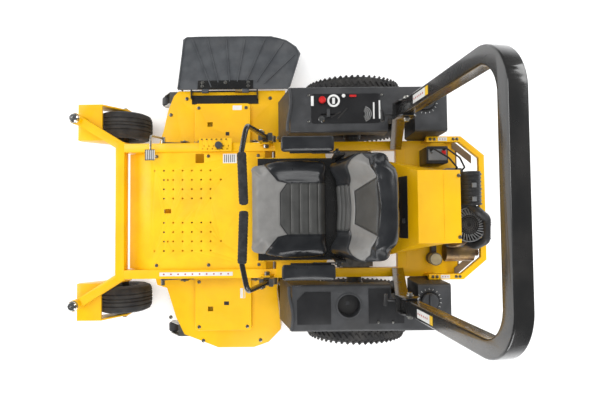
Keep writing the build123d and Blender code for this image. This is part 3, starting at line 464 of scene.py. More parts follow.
def softened(node, name, finish, width, segments=2, angle=40):
    # a CAD node with its sharp edges eased, which stands for the node
    piece = nodes[node].copy()
    piece.data = nodes[node].data.copy()
    bpy.context.collection.objects.link(piece)
    piece.parent = None
    active(piece)
    bpy.ops.object.mode_set(mode="EDIT")
    bpy.ops.mesh.select_all(action="SELECT")
    bpy.ops.mesh.remove_doubles(threshold=0.00002)
    bpy.ops.mesh.dissolve_limited(angle_limit=math.radians(3))
    bpy.ops.object.mode_set(mode="OBJECT")
    modify(piece, "BEVEL", width=width, segments=segments, limit_method="ANGLE",
           angle_limit=math.radians(angle),
           use_clamp_overlap=True, harden_normals=False)
    body = frame["node_body"][node] if "node_body" in frame else bodyOf(node)
    piece.name = name
    dress(piece, finish)
    bpy.ops.object.shade_smooth_by_angle(angle=math.radians(38))
    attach(piece, body)
    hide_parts(node)
    return piece


def bodyOf(node):
    for body, names in frame["record"]["behaviour"]["bodies"].items():
        if node in names:
            return body


def hexBolt(place, along, size, name, finish, body, head=0.006):
    # a flanged hex bolt head with a washer
    place, along = Vector(place), Vector(along).normalized()
    washer = roundBar(place, place + along * 0.0015, size * 1.35, 0.0003, 20)
    cap = roundBar(place + along * 0.001, place + along * (0.0015 + head), size, 0.0008, 6)
    return finishPiece(join([washer, cap], name), name, finish, body, 30)


# ---- seat, backrest and armrests ----
cushion = {"low": (-0.256, -0.272, 0.562), "high": (0.256, 0.148, 0.632), "edge": 0.036, "voxel": 0.006,
           "bolster": 0.042, "bolsterStart": 0.135, "insertHalf": 0.138, "insertFront": -0.105,
           "ribs": (-0.046, 0.002, 0.051, 0.10), "cap": 0.012}
backrest = {"width": 0.252, "height": 0.475, "thick": 0.075, "edge": 0.034, "lean": 28,
            "foot": (0.178, 0.648),
            "bolster": 0.05, "cap": 0.012, "ribs": (0.035, 0.072, 0.109, 0.146)}
armPad = {"low": (0.276, -0.092, 0.834), "high": (0.352, 0.170, 0.874), "cap": 0.007}


def ease(value, low, high):
    t = min(max((value - low) / (high - low), 0), 1)
    return t * t * (3 - 2 * t)


def inflate(piece, cap, pressure=4.0):
    # swell a closed form like foam in a cover, with each point's travel capped
    start = [v.co.copy() for v in piece.data.vertices]
    active(piece)
    cloth = piece.modifiers.new("Cloth", "CLOTH")
    cloth.settings.quality = 5
    cloth.settings.use_pressure = True
    cloth.settings.uniform_pressure_force = pressure
    cloth.settings.effector_weights.gravity = 0
    cloth.collision_settings.use_collision = False
    scene = bpy.context.scene
    scene.frame_start = 1
    scene.frame_end = 20
    cloth.point_cache.frame_end = 20
    for step in range(1, 21):
        scene.frame_set(step)
    bpy.ops.object.modifier_apply(modifier="Cloth")
    for vertex, first in zip(piece.data.vertices, start):
        move = vertex.co - first
        if move.length > cap:
            vertex.co = first + move * (cap / move.length)
    scene.frame_set(1)


def remesh(piece, voxel):
    active(piece)
    piece.data.remesh_voxel_size = voxel
    bpy.ops.object.voxel_remesh()


def segmentGap(p, a, b):
    ab = b - a
    t = min(max((p - a).dot(ab) / max(ab.length_squared, 1e-12), 0), 1)
    return (p - a - ab * t).length


def lineGap(p, points):
    return min(segmentGap(p, Vector(a), Vector(b)) for a, b in zip(points, points[1:]))


def inside(p, outline):
    odd = False
    for (ax, ay), (bx, by) in zip(outline, outline[1:] + outline[:1]):
        if (ay > p[1]) != (by > p[1]) and p[0] < (bx - ax) * (p[1] - ay) / (by - ay) + ax:
            odd = not odd
    return odd


def mirrored(points):
    return [(-x, y) for x, y in points]


# panel edges on the cushion, as (x, y) from the machine's zero
insertHalf, insertFront = cushion["insertHalf"], cushion["insertFront"]
insertCorner = (insertHalf, -0.068)
cushionWing = [insertCorner, (0.150, -0.119), (0.205, -0.165), (0.268, -0.214)]
cushionInsert = [(insertHalf, 0.17), insertCorner, (0.086, insertFront), (-0.086, insertFront),
                 (-insertHalf, insertCorner[1]), (-insertHalf, 0.17)]
# panel edges on the backrest, as (x, height up the back)
backWing = [(0.0, 0.165), (0.112, 0.165), (0.155, 0.185), (0.20, 0.205), (0.262, 0.285), (0.225, 0.345),
            (0.150, 0.385), (0.134, 0.39), (0.080, 0.205), (0.0, 0.205)]
headInsert = [(0.080, 0.205), (0.134, 0.39), (-0.134, 0.39), (-0.080, 0.205)]
backInsert = [(0.118, -0.02), (0.118, 0.14), (0.108, 0.165), (-0.108, 0.165), (-0.118, 0.14), (-0.118, -0.02)]


def shadeSmooth(piece):
    active(piece)
    bpy.ops.object.shade_smooth()


def surfaceLine(piece, points, toWorld, direction, radius, name, finish, lift=0.0, step=0.008):
    # a cord of piping laid on a surface along a flat line of points
    places = []
    for a, b in zip(points, points[1:]):
        a, b = Vector(a), Vector(b)
        count = max(2, int((b - a).length / step))
        for i in range(count):
            places.append(a.lerp(b, i / count))
    places.append(Vector(points[-1]))
    found = []
    for place in places:
        origin = toWorld(place, 0.2)
        hit, spot, normal, _ = piece.ray_cast(origin, direction)
        if hit:
            found.append(spot + normal * lift)
    if len(found) < 4:
        return None
    line = bentPipe(found, radius, name, 3, 3)
    line.data.materials.clear()
    line.data.materials.append(finishes[finish])
    return line


def paint(piece, names, choose):
    # give each face the finish that choose(centre, normal) names
    piece.data.materials.clear()
    for name in names:
        piece.data.materials.append(finishes[name])
    for face in piece.data.polygons:
        face.material_index = names.index(choose(face.center, face.normal))


def makeCushion():
    piece = roundedBox(at(*cushion["low"]), at(*cushion["high"]), cushion["edge"], 5)
    remesh(piece, cushion["voxel"])
    low, high = cushion["low"], cushion["high"]
    for vertex in piece.data.vertices:
        x, y, z = vertex.co - at(0, 0, 0)
        top = ease(z, low[2] + 0.02, high[2])
        side = ease(abs(x), cushion["bolsterStart"], 0.215) * ease(y, -0.255, -0.10)
        dish = -0.010 * (1 - ease(abs(x), 0.0, 0.15)) * ease(y, -0.2, 0.05)
        fall = -0.020 * (1 - ease(y, -0.285, -0.16))
        vertex.co.z += top * (cushion["bolster"] * side + dish + fall)
        taper = 1 + 0.05 * ease(abs(y + 0.02), 0.0, 0.25) * -1
        vertex.co.x = zeroX + x * (taper + 0.045 * ease(z, 0.57, 0.66))
    inflate(piece, cushion["cap"])
    modify(piece, "SMOOTH", factor=0.5, iterations=4)
    modify(piece, "SUBSURF", levels=1, render_levels=1)
    seams = [cushionWing, mirrored(cushionWing), cushionInsert]
    ribs = [[(-0.132, y), (0.132, y)] for y in cushion["ribs"]]
    normals = [vertex.normal.copy() for vertex in piece.data.vertices]
    for vertex, normal in zip(piece.data.vertices, normals):
        if normal.z < 0.25:
            continue
        flat = (vertex.co - at(0, 0, 0)).xy
        gap = min(lineGap(flat, line) for line in seams)
        depth = 0.0045 * math.exp(-(gap / 0.006) ** 2)
        gap = min(lineGap(flat, line) for line in ribs)
        depth += 0.0055 * math.exp(-(gap / 0.0065) ** 2)
        vertex.co -= normal * depth

    def choose(centre, normal):
        x, y, z = centre - at(0, 0, 0)
        if z < 0.6 and abs(x) < 0.24 and y > -0.24 or normal.z < -0.2:
            return "vinylBlack"
        if inside((x, y), cushionInsert):
            return "vinylDark"
        edge = [(0.138, -0.068), (0.150, -0.119), (0.205, -0.165), (0.30, -0.236), (0.30, 0.3), (0.138, 0.3)]
        if inside((abs(x), y), edge):
            return "vinylBlack"
        return "vinylGrey" if z > 0.585 else "vinylBlack"

    paint(piece, ["vinylBlack", "vinylGrey", "vinylDark"], choose)
    shadeSmooth(piece)
    piece.name = "seatCushionCover"
    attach(piece, "seat")
    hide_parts("seat_cushion")
    down = Vector((0, 0, -1))

    def toWorld(flat, above):
        return at(flat[0], flat[1], 0.75 + above)

    lines = [surfaceLine(piece, line, toWorld, down, 0.0021, "cushionPiping", "vinylBlack")
             for line in (cushionWing, mirrored(cushionWing), cushionInsert)]
    lines += [surfaceLine(piece, line, toWorld, down, 0.0014, "cushionRib", "vinylGrey",
                          -0.0008) for line in ribs]
    for number, line in enumerate(l for l in lines if l):
        line.name = "cushionSeam%d" % number
        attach(line, "seat")
    print("cushion done:", len(piece.data.vertices))


def backFrame():
    lean = math.radians(backrest["lean"])
    up = Vector((0, math.sin(lean), math.cos(lean)))
    front = Vector((0, -math.cos(lean), math.sin(lean)))
    foot = at(0, *backrest["foot"])
    return foot, up, front


def makeBackrest():
    foot, up, front = backFrame()
    width, height, thick = backrest["width"], backrest["height"], backrest["thick"]
    piece = roundedBox((-width, 0, -thick), (width, height, 0), backrest["edge"], 5)
    remesh(piece, cushion["voxel"])
    for vertex in piece.data.vertices:
        x, v, w = vertex.co
        squeeze = 1.0 - 0.30 * ease(v, 0.33, 0.50) ** 1.6 + 0.05 * ease(v, 0.05, 0.25)
        squeeze -= 0.05 * (1 - ease(v, 0.0, 0.12))
        x *= squeeze
        lift = -0.035 * (abs(x) / 0.2) ** 2.4 * ease(v, 0.36, 0.47)
        wing = ease(abs(x), 0.13, 0.225)
        wrap = backrest["bolster"] * wing * (1 - 0.55 * ease(v, 0.24, 0.40))
        rim = 0.020 * ease(v, 0.39, 0.44) * (1 - ease(v, 0.455, 0.49))
        forward = ease(w, -thick, -0.01)
        w += wrap * (0.35 + 0.65 * forward) + rim * forward - 0.008 * (1 - ease(abs(x), 0, 0.12)) * forward
        vertex.co = foot + Vector((1, 0, 0)) * x + up * (v + lift) + front * w
    inflate(piece, backrest["cap"])
    modify(piece, "SMOOTH", factor=0.5, iterations=4)
    modify(piece, "SUBSURF", levels=1, render_levels=1)

    def local(point):
        offset = point - foot
        return Vector((offset.x, offset.dot(up)))

    seams = [backWing[1:8], mirrored(backWing[1:8]), headInsert + headInsert[:1], backInsert]
    ribs = [[(-0.11, v), (0.11, v)] for v in backrest["ribs"]]
    normals = [vertex.normal.copy() for vertex in piece.data.vertices]
    for vertex, normal in zip(piece.data.vertices, normals):
        if normal.dot(front) < 0.2:
            continue
        flat = local(vertex.co)
        depth = 0.0045 * math.exp(-(min(lineGap(flat, line) for line in seams) / 0.006) ** 2)
        depth += 0.005 * math.exp(-(min(lineGap(flat, line) for line in ribs) / 0.0065) ** 2)
        vertex.co -= normal * depth

    def choose(centre, normal):
        x, v = local(centre)
        if normal.dot(front) < 0.05:
            return "vinylBlack"
        if inside((x, v), headInsert) or inside((x, v), backInsert):
            return "vinylDark"
        if inside((abs(x), v), backWing):
            return "vinylGrey"
        return "vinylBlack"

    paint(piece, ["vinylBlack", "vinylGrey", "vinylDark"], choose)
    shadeSmooth(piece)
    piece.name = "seatBackCover"
    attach(piece, "seat")
    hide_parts("seat_back")

    def toWorld(flat, above):
        return foot + Vector((1, 0, 0)) * flat[0] + up * flat[1] + front * (0.12 + above)

    lines = [surfaceLine(piece, line, toWorld, -front, 0.0021, "backPiping", "vinylBlack") for line in seams]
    lines += [surfaceLine(piece, line, toWorld, -front, 0.0013, "backRib", "vinylGrey",
                          -0.0008) for line in ribs]
    for number, line in enumerate(l for l in lines if l):
        line.name = "backSeam%d" % number
        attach(line, "seat")
    print("backrest done:", len(piece.data.vertices))


def makeArmrests():
    for side, name in ((-1, "right"), (1, "left")):
        low, high = armPad["low"], armPad["high"]
        a, b = side * low[0], side * high[0]
        piece = roundedBox(at(min(a, b), low[1], low[2]), at(max(a, b), high[1], high[2]), 0.015, 5)
        remesh(piece, 0.005)
        inflate(piece, armPad["cap"], 3.0)
        modify(piece, "SMOOTH", factor=0.5, iterations=3)
        modify(piece, "SUBSURF", levels=1, render_levels=1)
        shadeSmooth(piece)
        dress(piece, "vinylBlack")
        piece.name = "armrestPad_" + name
        body = "armrest_" + name
        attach(piece, body)
        hub = roundBar(at(side * 0.2663, 0.185, 0.842), at(side * 0.279, 0.185, 0.842), 0.019, 0.002)
        bar = roundedBox(at(min(side * 0.267, side * 0.273), 0.06, 0.834),
                         at(max(side * 0.267, side * 0.273), 0.19, 0.85),
                         0.002)
        tray = roundedBox(at(min(side * 0.27, side * 0.35), -0.05, 0.829),
                          at(max(side * 0.27, side * 0.35), 0.15, 0.835),
                          0.002)
        arm = finishPiece(join([hub, bar, tray], "armBracket"), "armrestBracket_" + name, "powderBlack", body)
        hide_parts("armrest_" + name)
    print("armrests done")


# ---- wheels ----
driveTyre = {"radius": 0.305, "half": 0.145, "bead": 0.152, "lugRows": 9, "lugsAround": 54,
             "lugHeight": 0.007}
casterTyre = {"radius": 0.165, "half": 0.080, "bead": 0.0752}


def makeDriveTyre(name, side):
    place = at(side * 0.592, 0.320, driveTyre["radius"])
    r, half, bead = driveTyre["radius"] - driveTyre["lugHeight"], driveTyre["half"], driveTyre["bead"]
    profile = [(-half + 0.018, bead), (-half + 0.008, bead + 0.012), (-half + 0.002, bead + 0.045),
               (-half, r - 0.070), (-half + 0.006, r - 0.035), (-half + 0.022, r - 0.012), (-half + 0.055,
                                                                                            r - 0.003),
               (0, r), (half - 0.055, r - 0.003), (half - 0.022, r - 0.012), (half - 0.006, r - 0.035),
               (half, r - 0.070), (half - 0.002, bead + 0.045), (half - 0.008, bead + 0.012), (half - 0.018,
                                                                                               bead)]
    casing = lathe(profile + profile[:1], place, (1, 0, 0), 96)
    bpy.ops.mesh.primitive_cube_add(size=1)
    lug = bpy.context.object
    lug.scale = (0.034, 0.0125, driveTyre["lugHeight"] + 0.006)
    settle(lug)
    modify(lug, "BEVEL", width=0.002, segments=1)
    pattern = lug.data
    points, faces = [], []
    rows, around = driveTyre["lugRows"], driveTyre["lugsAround"]
    for row in range(rows):
        across = (row - (rows - 1) / 2) * (2 * half - 0.030) / (rows - 1)
        edge = abs(across) / half
        drop = 0.003 * ease(edge, 0.3, 0.65) + 0.024 * ease(edge, 0.68, 1.02)
        lean = math.copysign(math.radians(34) * ease(edge, 0.7, 1.0), across)
        angle = math.radians(38 if row % 2 else -38)
        for k in range(around):
            turn = math.tau * (k + 0.5 * (row % 2)) / around
            spin = Matrix.Rotation(turn, 4, "X")
            seat = Matrix.Translation((across, 0, r - drop + driveTyre["lugHeight"] / 2 - 0.003))
            tilt = Matrix.Rotation(lean, 4, "Y") @ Matrix.Rotation(angle, 4, "Z")
            matrix = Matrix.Translation(place) @ spin @ seat @ tilt
            base = len(points)
            points += [matrix @ v.co for v in pattern.vertices]
            faces += [[base + i for i in f.vertices] for f in pattern.polygons]
    bpy.data.objects.remove(lug)
    mesh = bpy.data.meshes.new("tread")
    mesh.from_pydata(points, [], faces)
    tread = bpy.data.objects.new("tread", mesh)
    bpy.context.collection.objects.link(tread)
    tyre = join([casing, tread], "driveTyre")
    tyre = finishPiece(tyre, "driveTyre_" + name, "tyreRubber", "drive_wheel_" + name, 32)
    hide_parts("drive_tyre_" + name)


def makeDriveHub(name, side):
    face = 0.622
    bolts = []
    for k in range(5):
        turn = math.tau * k / 5
        spot = at(side * face, 0.320 + 0.042 * math.cos(turn), 0.305 + 0.042 * math.sin(turn))
        bolts.append(roundBar(spot - Vector((side * 0.001, 0, 0)), spot + Vector((side * 0.016, 0, 0)),
                              0.0105, 0.001, 6))
    cap = lathe([(0, 0.0), (0.020, 0.0), (0.019, 0.016), (0.012, 0.024), (0.0, 0.026)],
                at(side * face, 0.320, 0.305),
                (side, 0, 0), 40)
    hub = finishPiece(join(bolts + [cap], "hub"), "wheelNuts_" + name, "brightSteel", "drive_wheel_" + name)
    valve = roundBar(at(side * 0.60, 0.43, 0.305), at(side * 0.645, 0.445, 0.305), 0.004, 0.001, 12)
    valve = finishPiece(valve, "valveStem_" + name, "tyreRubber", "drive_wheel_" + name)


def makeCasterWheel(name, side):
    place = at(side * 0.535, -1.110, 0.165)
    r, half, bead = casterTyre["radius"], casterTyre["half"], casterTyre["bead"]
    profile = [(-half + 0.014, bead), (-half + 0.004, bead + 0.008), (-half, bead + 0.028),
               (-half, r - 0.034),
               (-half + 0.010, r - 0.012), (-half + 0.028, r - 0.003), (-0.040, r - 0.001), (-0.037,
                                                                                             r - 0.006),
               (-0.033, r - 0.006), (-0.030, r - 0.0003), (-0.014, r), (-0.011, r - 0.006), (-0.007,
                                                                                             r - 0.006),
               (-0.004, r), (0.004, r), (0.007, r - 0.006), (0.011, r - 0.006), (0.014, r), (0.030,
                                                                                             r - 0.0003),
               (0.033, r - 0.006), (0.037, r - 0.006), (0.040, r - 0.001), (half - 0.028, r - 0.003),
               (half - 0.010, r - 0.012), (half, r - 0.034), (half, bead + 0.028), (half - 0.004,
                                                                                    bead + 0.008),
               (half - 0.014, bead)]
    tyre = lathe(profile + profile[:1], place, (1, 0, 0), 80)
    tyre = finishPiece(tyre, "casterTyre_" + name, "tyreRubber", "caster_wheel_" + name, 32)
    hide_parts("caster_tyre_" + name)
    softened("caster_fork_" + name, "casterFork_" + name, "yellowPaint", 0.0016)
    cap = lathe([(0, 0.0), (0.0, 0.0295), (0.004, 0.0295), (0.006, 0.027), (0.016, 0.026), (0.022, 0.020),
                 (0.0235, 0.0)], at(side * 0.535, -1.290, 0.4705), (0, 0, 1), 48)
    nipple = lathe([(0, 0.0045), (0.006, 0.0045), (0.008, 0.003), (0.011, 0.0035), (0.012, 0.0)],
                   at(side * 0.535, -1.290, 0.4935), (0, 0, 1), 20)
    cap = finishPiece(join([cap, nipple], "cap"), "casterCap_" + name, "brightSteel", "caster_" + name)
    for flank in (-1, 1):
        hexBolt(at(side * 0.535 + flank * 0.119, -1.110, 0.165), (flank, 0, 0), 0.0125,
                "casterBolt_%s_%d" % (name, flank + 1), "zincSteel", "caster_" + name)


# ---- chute ----
chute = {"hinge": (-0.750, 0.2665), "tip": (-1.138, 0.1285), "ribHeight": 0.007}
chuteRibs = [((-0.757, -0.540), (-1.118, -0.690)), ((-0.790, -0.500), (-1.120, -0.590)),
             ((-0.795, -0.430), (-1.122, -0.470)), ((-0.795, -0.385), (-1.122, -0.345)),
             ((-0.800, -0.330), (-1.120, -0.215)), ((-0.800, -0.265), (-1.095, -0.095)),
             ((-0.790, -0.215), (-1.000, -0.020))]


def chuteHeight(x):
    (x0, z0), (x1, z1) = chute["hinge"], chute["tip"]
    return z0 + (z1 - z0) * (x - x0) / (x1 - x0)


def makeChute():
    body = softened("discharge_chute", "chuteShell", "chutePlastic", 0.0018)
    ribs = []
    for start, end in chuteRibs:
        a, b = Vector(start), Vector(end)
        along = (b - a).normalized()
        across = Vector((-along.y, along.x)) * 0.0032
        high = chute["ribHeight"]
        points = []
        for place, rise in ((a, 0.2), (a.lerp(b, 0.04), 1), (a.lerp(b, 0.96), 1), (b, 0.2)):
            for sign in (-1, 1):
                flat = place + across * sign
                points.append(at(flat.x, flat.y, chuteHeight(flat.x) - 0.003))
                points.append(at(flat.x, flat.y, chuteHeight(flat.x) + high * rise))
        mesh = bpy.data.meshes.new("rib")
        faces = []
        for k in range(3):
            o = 4 * k
            faces += [(o + 1, o + 3, o + 7, o + 5), (o, o + 1, o + 5, o + 4), (o + 3, o + 2, o + 6, o + 7),
                      (o + 2, o, o + 4, o + 6)]
        faces += [(0, 2, 3, 1), (12, 13, 15, 14)]
        mesh.from_pydata(points, [], faces)
        rib = bpy.data.objects.new("rib", mesh)
        bpy.context.collection.objects.link(rib)
        active(rib)
        bpy.ops.object.mode_set(mode="EDIT")
        bpy.ops.mesh.select_all(action="SELECT")
        bpy.ops.mesh.normals_make_consistent(inside=False)
        bpy.ops.object.mode_set(mode="OBJECT")
        modify(rib, "BEVEL", width=0.0014, segments=2)
        ribs.append(rib)
    rim = bentPipe([at(x, y, chuteHeight(x) + 0.001) for x, y in
                    [(-0.760, -0.750), (-0.95, -0.7455), (-1.118, -0.744), (-1.134, -0.722), (-1.134, -0.45),
                     (-1.134, -0.185), (-1.105, -0.085), (-1.055, -0.020), (-1.003, 0.008), (-0.884, -0.024),
                     (-0.775, -0.055)]], 0.0042, "rim", 3, 3)
    ribs = finishPiece(join(ribs + [rim], "ribs"), "chuteRibs", "chutePlastic", "chute")
    rise = math.atan2(chute["hinge"][1] - chute["tip"][1], chute["hinge"][0] - chute["tip"][0])
    bpy.ops.mesh.primitive_cube_add(size=1, location=at(-0.784, -0.457, chuteHeight(-0.784) + 0.0025))
    strap = bpy.context.object
    strap.scale = (0.062, 0.344, 0.005)
    strap.rotation_euler = (0, -rise, 0)
    settle(strap)
    modify(strap, "BEVEL", width=0.0015, segments=2)
    strap = finishPiece(strap, "chuteStrap", "powderBlack", "chute")
    for number, (x, y) in enumerate(((-0.772, -0.600), (-0.772, -0.315), (-0.798, -0.600), (-0.798, -0.457),
                                     (-0.798, -0.315))):
        hexBolt(at(x, y, chuteHeight(x) + 0.0048), (-math.sin(rise), 0, math.cos(rise)), 0.0085,
                "chuteBolt%d" % number, "zincSteel", "chute", 0.005)
    spring = coil(at(-0.738, -0.395, 0.270), at(-0.738, -0.352, 0.270), 0.0095, 0.0016, 9)
    spring = finishPiece(spring, "chuteSpring", "goldSteel", "deck")
    print("chute done")


def coil(start, end, radius, wire, turns, perTurn=16):
    # a coil spring between two points
    start, end = Vector(start), Vector(end)
    along = (end - start).normalized()
    across = along.orthogonal().normalized()
    other = along.cross(across)
    count = turns * perTurn
    places = []
    for k in range(count + 1):
        turn = math.tau * k / perTurn
        swing = across * radius * math.cos(turn) + other * radius * math.sin(turn)
        places.append(start.lerp(end, k / count) + swing)
    return bentPipe(places, wire, "coil", 3, 2)


# ---- sheet metal and plastics with eased edges ----
softNodes = [
    ("main_frame", "mainRails", "yellowPaint", 0.0022), ("front_frame", "frontFrame", "yellowPaint", 0.002),
    ("floor_pan", "floorPan", "floorPaint", 0.0009), ("engine_cover", "engineCover", "yellowPaint", 0.0035),
    ("belt_covers", "beltCovers", "yellowPaint", 0.004), ("deck_shell", "deckShell", "yellowPaint", 0.003),
    ("fender_right", "fenderRight", "podPlastic", 0.007), ("fender_left", "fenderLeft", "podPlastic", 0.007),
    # the rear bumper's dark brown is painted shade on yellow paint
    ("fender_panels", "fenderPanels", "panelBlack", 0.0012), ("rear_bumper", "rearBumper", "paintedShadeBrown",
                                                              0.0015),
    ("rear_guard", "rearGuard", "yellowPaint", 0.002), ("rops_bases", "ropsBases", "powderBlack", 0.002),
    ("battery", "batteryCase", "enginePlastic", 0.003), ("throttle_lever", "throttleHandle", "podPlastic",
                                                         0.002),
    ("seat_platform", "seatPlatform", "powderBlack", 0.0015), ("blower_housing", "blowerHousing",
                                                               "enginePlastic", 0.003),
    ("hydro_units", "hydroUnits", "castGrey", 0.003), ("height_selector", "heightPlate", "yellowPaint",
                                                       0.001),
]


def easeNodes():
    for node, name, finish, width in softNodes:
        softened(node, name, finish, width)
    print("sheet metal eased")


# ---- decals and small hardware ----
def decal(name, outline, z, finish, body, thick=0.0006):
    # a thin patch with an outline of (x, y) places, at a height
    mesh = bpy.data.meshes.new(name)
    count = len(outline)
    points = [at(x, y, z) for x, y in outline] + [at(x, y, z + thick) for x, y in outline]
    faces = [tuple(range(count))[::-1], tuple(range(count, 2 * count))]
    faces += [(i, (i + 1) % count, count + (i + 1) % count, count + i) for i in range(count)]
    mesh.from_pydata(points, [], faces)
    piece = bpy.data.objects.new(name, mesh)
    bpy.context.collection.objects.link(piece)
    active(piece)
    bpy.ops.object.mode_set(mode="EDIT")
    bpy.ops.mesh.select_all(action="SELECT")
    bpy.ops.mesh.normals_make_consistent(inside=False)
    bpy.ops.object.mode_set(mode="OBJECT")
    return finishPiece(piece, name, finish, body)


def square(x, y, wide, deep):
    return [(x - wide / 2, y - deep / 2), (x + wide / 2, y - deep / 2), (x + wide / 2, y + deep / 2),
            (x - wide / 2, y + deep / 2)]


def group(pieces, name, finish, body):
    piece = finishPiece(join(pieces, name), name, finish, body)
    return piece


def boltPlaces(places, size, name, finish, body, head=0.005):
    # several hex bolts in one piece; a place is (x, y, z) and the way it points
    made = []
    for place, along in places:
        spot, along = at(*place), Vector(along).normalized()
        made.append(roundBar(spot - along * 0.0004, spot + along * 0.0014, size * 1.35, 0.0003, 20))
        made.append(roundBar(spot + along * 0.001, spot + along * (0.0014 + head), size, 0.0007, 6))
    return group(made, name, finish, body)


UP = (0, 0, 1)


def makeDeckDetails():
    boltPlaces([((-0.63, -0.615, 0.2895), UP), ((-0.42, -0.615, 0.2895), UP), ((-0.63, -0.325, 0.2895), UP),
                ((0.70, -0.615, 0.2895), UP), ((0.43, -0.615, 0.2895), UP), ((0.70, -0.325, 0.2895), UP)],
               0.008, "coverBolts", "zincSteel", "deck")
    holes = []
    for x, y, wide, deep in ((-0.47, -0.44, 0.022, 0.022), (0.56, -0.45, 0.022, 0.030),
                             (-0.452, -0.455, 0.0, 0.0)):
        if wide:
            holes.append(roundedBox(at(x - wide / 2, y - deep / 2, 0.2896),
                                    at(x + wide / 2, y + deep / 2, 0.2906), 0))
    group(holes, "coverPockets", "rimBlack", "deck")
    decal("deckLabelWhite", square(0.50, -0.352, 0.060, 0.030), 0.2898, "decalWhite", "deck")
    decal("deckLabelBand", square(0.50, -0.345, 0.056, 0.008), 0.2904, "decalYellow", "deck")
    decal("deckLabelRight", square(-0.63, -0.38, 0.028, 0.055), 0.2898, "decalWhite", "deck")
    boltPlaces([((x, y, 0.2402), UP) for x, y in
                ((-0.700, -0.700), (-0.600, -0.800), (-0.700, -0.180), (0.795, -0.600), (0.795, -0.250),
                 (0.65, -0.80), (0.45, -0.13), (-0.45, -0.13))], 0.0085, "deckBolts", "zincSteel", "deck")
    print("deck details done")


def makeFloorDetails():
    boltPlaces([((side * x, y, 0.4302), UP) for side in (-1, 1) for x, y in
                ((0.315, -0.83), (0.315, -0.24), (0.315, -0.53))], 0.0075, "floorBolts", "zincSteel", "root")
    decal("floorStripe", square(0, -0.218, 0.46, 0.010), 0.4303, "decalBlack", "root")
    print("floor details done")


# ---- consoles ----
podTop = 0.7205
panelTop = 0.7238


def ring(place, along, inner, outer, thick, sides=48):
    half = thick / 2
    edge = min(thick, outer - inner) * 0.25
    profile = [(-half, inner), (-half, outer - edge), (-half + edge, outer), (half - edge, outer),
               (half, outer - edge),
               (half, inner + edge * 0.5), (half - edge * 0.5, inner), (-half, inner)]
    return lathe(profile, at(*place), along, sides)


def makeConsole():
    # hour meter, lamp, key switch, throttle plate and labels on the right pod
    bezel = [ring((-0.556, 0.179, 0.7325), UP, 0.0225, 0.033, 0.006)]
    group(bezel, "meterRing", "decalWhite", "root")
    face = [roundBar(at(-0.556, 0.179, 0.728), at(-0.556, 0.179, 0.7318), 0.0225)]
    group(face, "meterFace", "decalBlack", "root")
    group([roundedBox(at(-0.572, 0.172, 0.7315), at(-0.540, 0.186, 0.7325), 0.0002)], "meterWindow",
          "decalWhite", "root")
    lamp = lathe([(0, 0.0), (0, 0.0095), (0.002, 0.0095), (0.005, 0.006), (0.006, 0.0)],
                 at(-0.584, 0.232, panelTop),
                 UP, 32)
    group([lamp], "oilLamp", "decalWhite", "root")
    group([roundedBox(at(-0.588, 0.262, panelTop), at(-0.576, 0.298, panelTop + 0.006), 0.002)], "redSwitch",
          "redPlastic", "root")
    group([roundedBox(at(-0.584, 0.062, panelTop - 0.0005), at(-0.532, 0.076, panelTop + 0.0006), 0.0002)],
          "knobLabel",
          "decalWhite", "root")
    collar = [ring((-0.463, 0.116, 0.7255), UP, 0.0115, 0.0165, 0.005)]
    group(collar, "keySurround", "brightSteel", "root")
    screws = []
    for x, y in ((-0.588, 0.050), (-0.588, 0.430), (-0.450, 0.050), (-0.450, 0.430)):
        screws.append(lathe([(0, 0.0), (0, 0.0065), (0.002, 0.006), (0.0035, 0.003), (0.0038, 0)],
                            at(x, y, panelTop - 0.003),
                            UP, 20))
    group(screws, "consoleScrews", "zincSteel", "root")
    # curved marks beside the throttle
    marks = []
    for radius in (0.018, 0.027, 0.036, 0.045):
        turn = [math.radians(a) for a in range(20, 161, 20)]
        points = [at(-0.488 + radius * math.cos(t) * 0.9, 0.330 + radius * math.sin(t),
                     panelTop + 0.0004) for t in turn]
        marks.append(bentPipe(points, 0.0009, "arc", 3, 1))
    group(marks, "throttleMarks", "decalWhite", "root")
    for number, (x, y, wide, deep) in enumerate(((-0.505, 0.388, 0.086, 0.008),
                                                 (-0.510, 0.418, 0.096, 0.008))):
        decal("consoleLabel%d" % number, square(x, y, wide, deep), panelTop - 0.0006, "decalWhite", "root",
              0.0016)
    bars = []
    for (x0, y0), (x1, y1) in (((-0.470, 0.165), (-0.500, 0.215)), ((-0.462, 0.200), (-0.520, 0.250)),
                               ((-0.520, 0.150), (-0.470, 0.145))):
        bars.append(roundBar(at(x0, y0, panelTop - 0.001), at(x1, y1, panelTop - 0.001), 0.0042, 0.001, 14))
    group(bars, "consoleBars", "rimBlack", "root")
    ridge = [at(x, -0.052 + 0.010 * math.sin((x + 0.63) * 22), podTop - 0.001) for x in
             [-0.625 + 0.0225 * k for k in range(11)]]
    group([bentPipe(ridge, 0.009, "ridge", 3, 3)], "podLipRight", "podPlastic", "root")
    ridge = [at(-x, -0.052 + 0.010 * math.sin((x + 0.63) * 22), podTop - 0.001) for x in
             [-0.625 + 0.0225 * k for k in range(11)]]
    group([bentPipe(ridge, 0.009, "ridge", 3, 3)], "podLipLeft", "podPlastic", "root")
    print("console done")


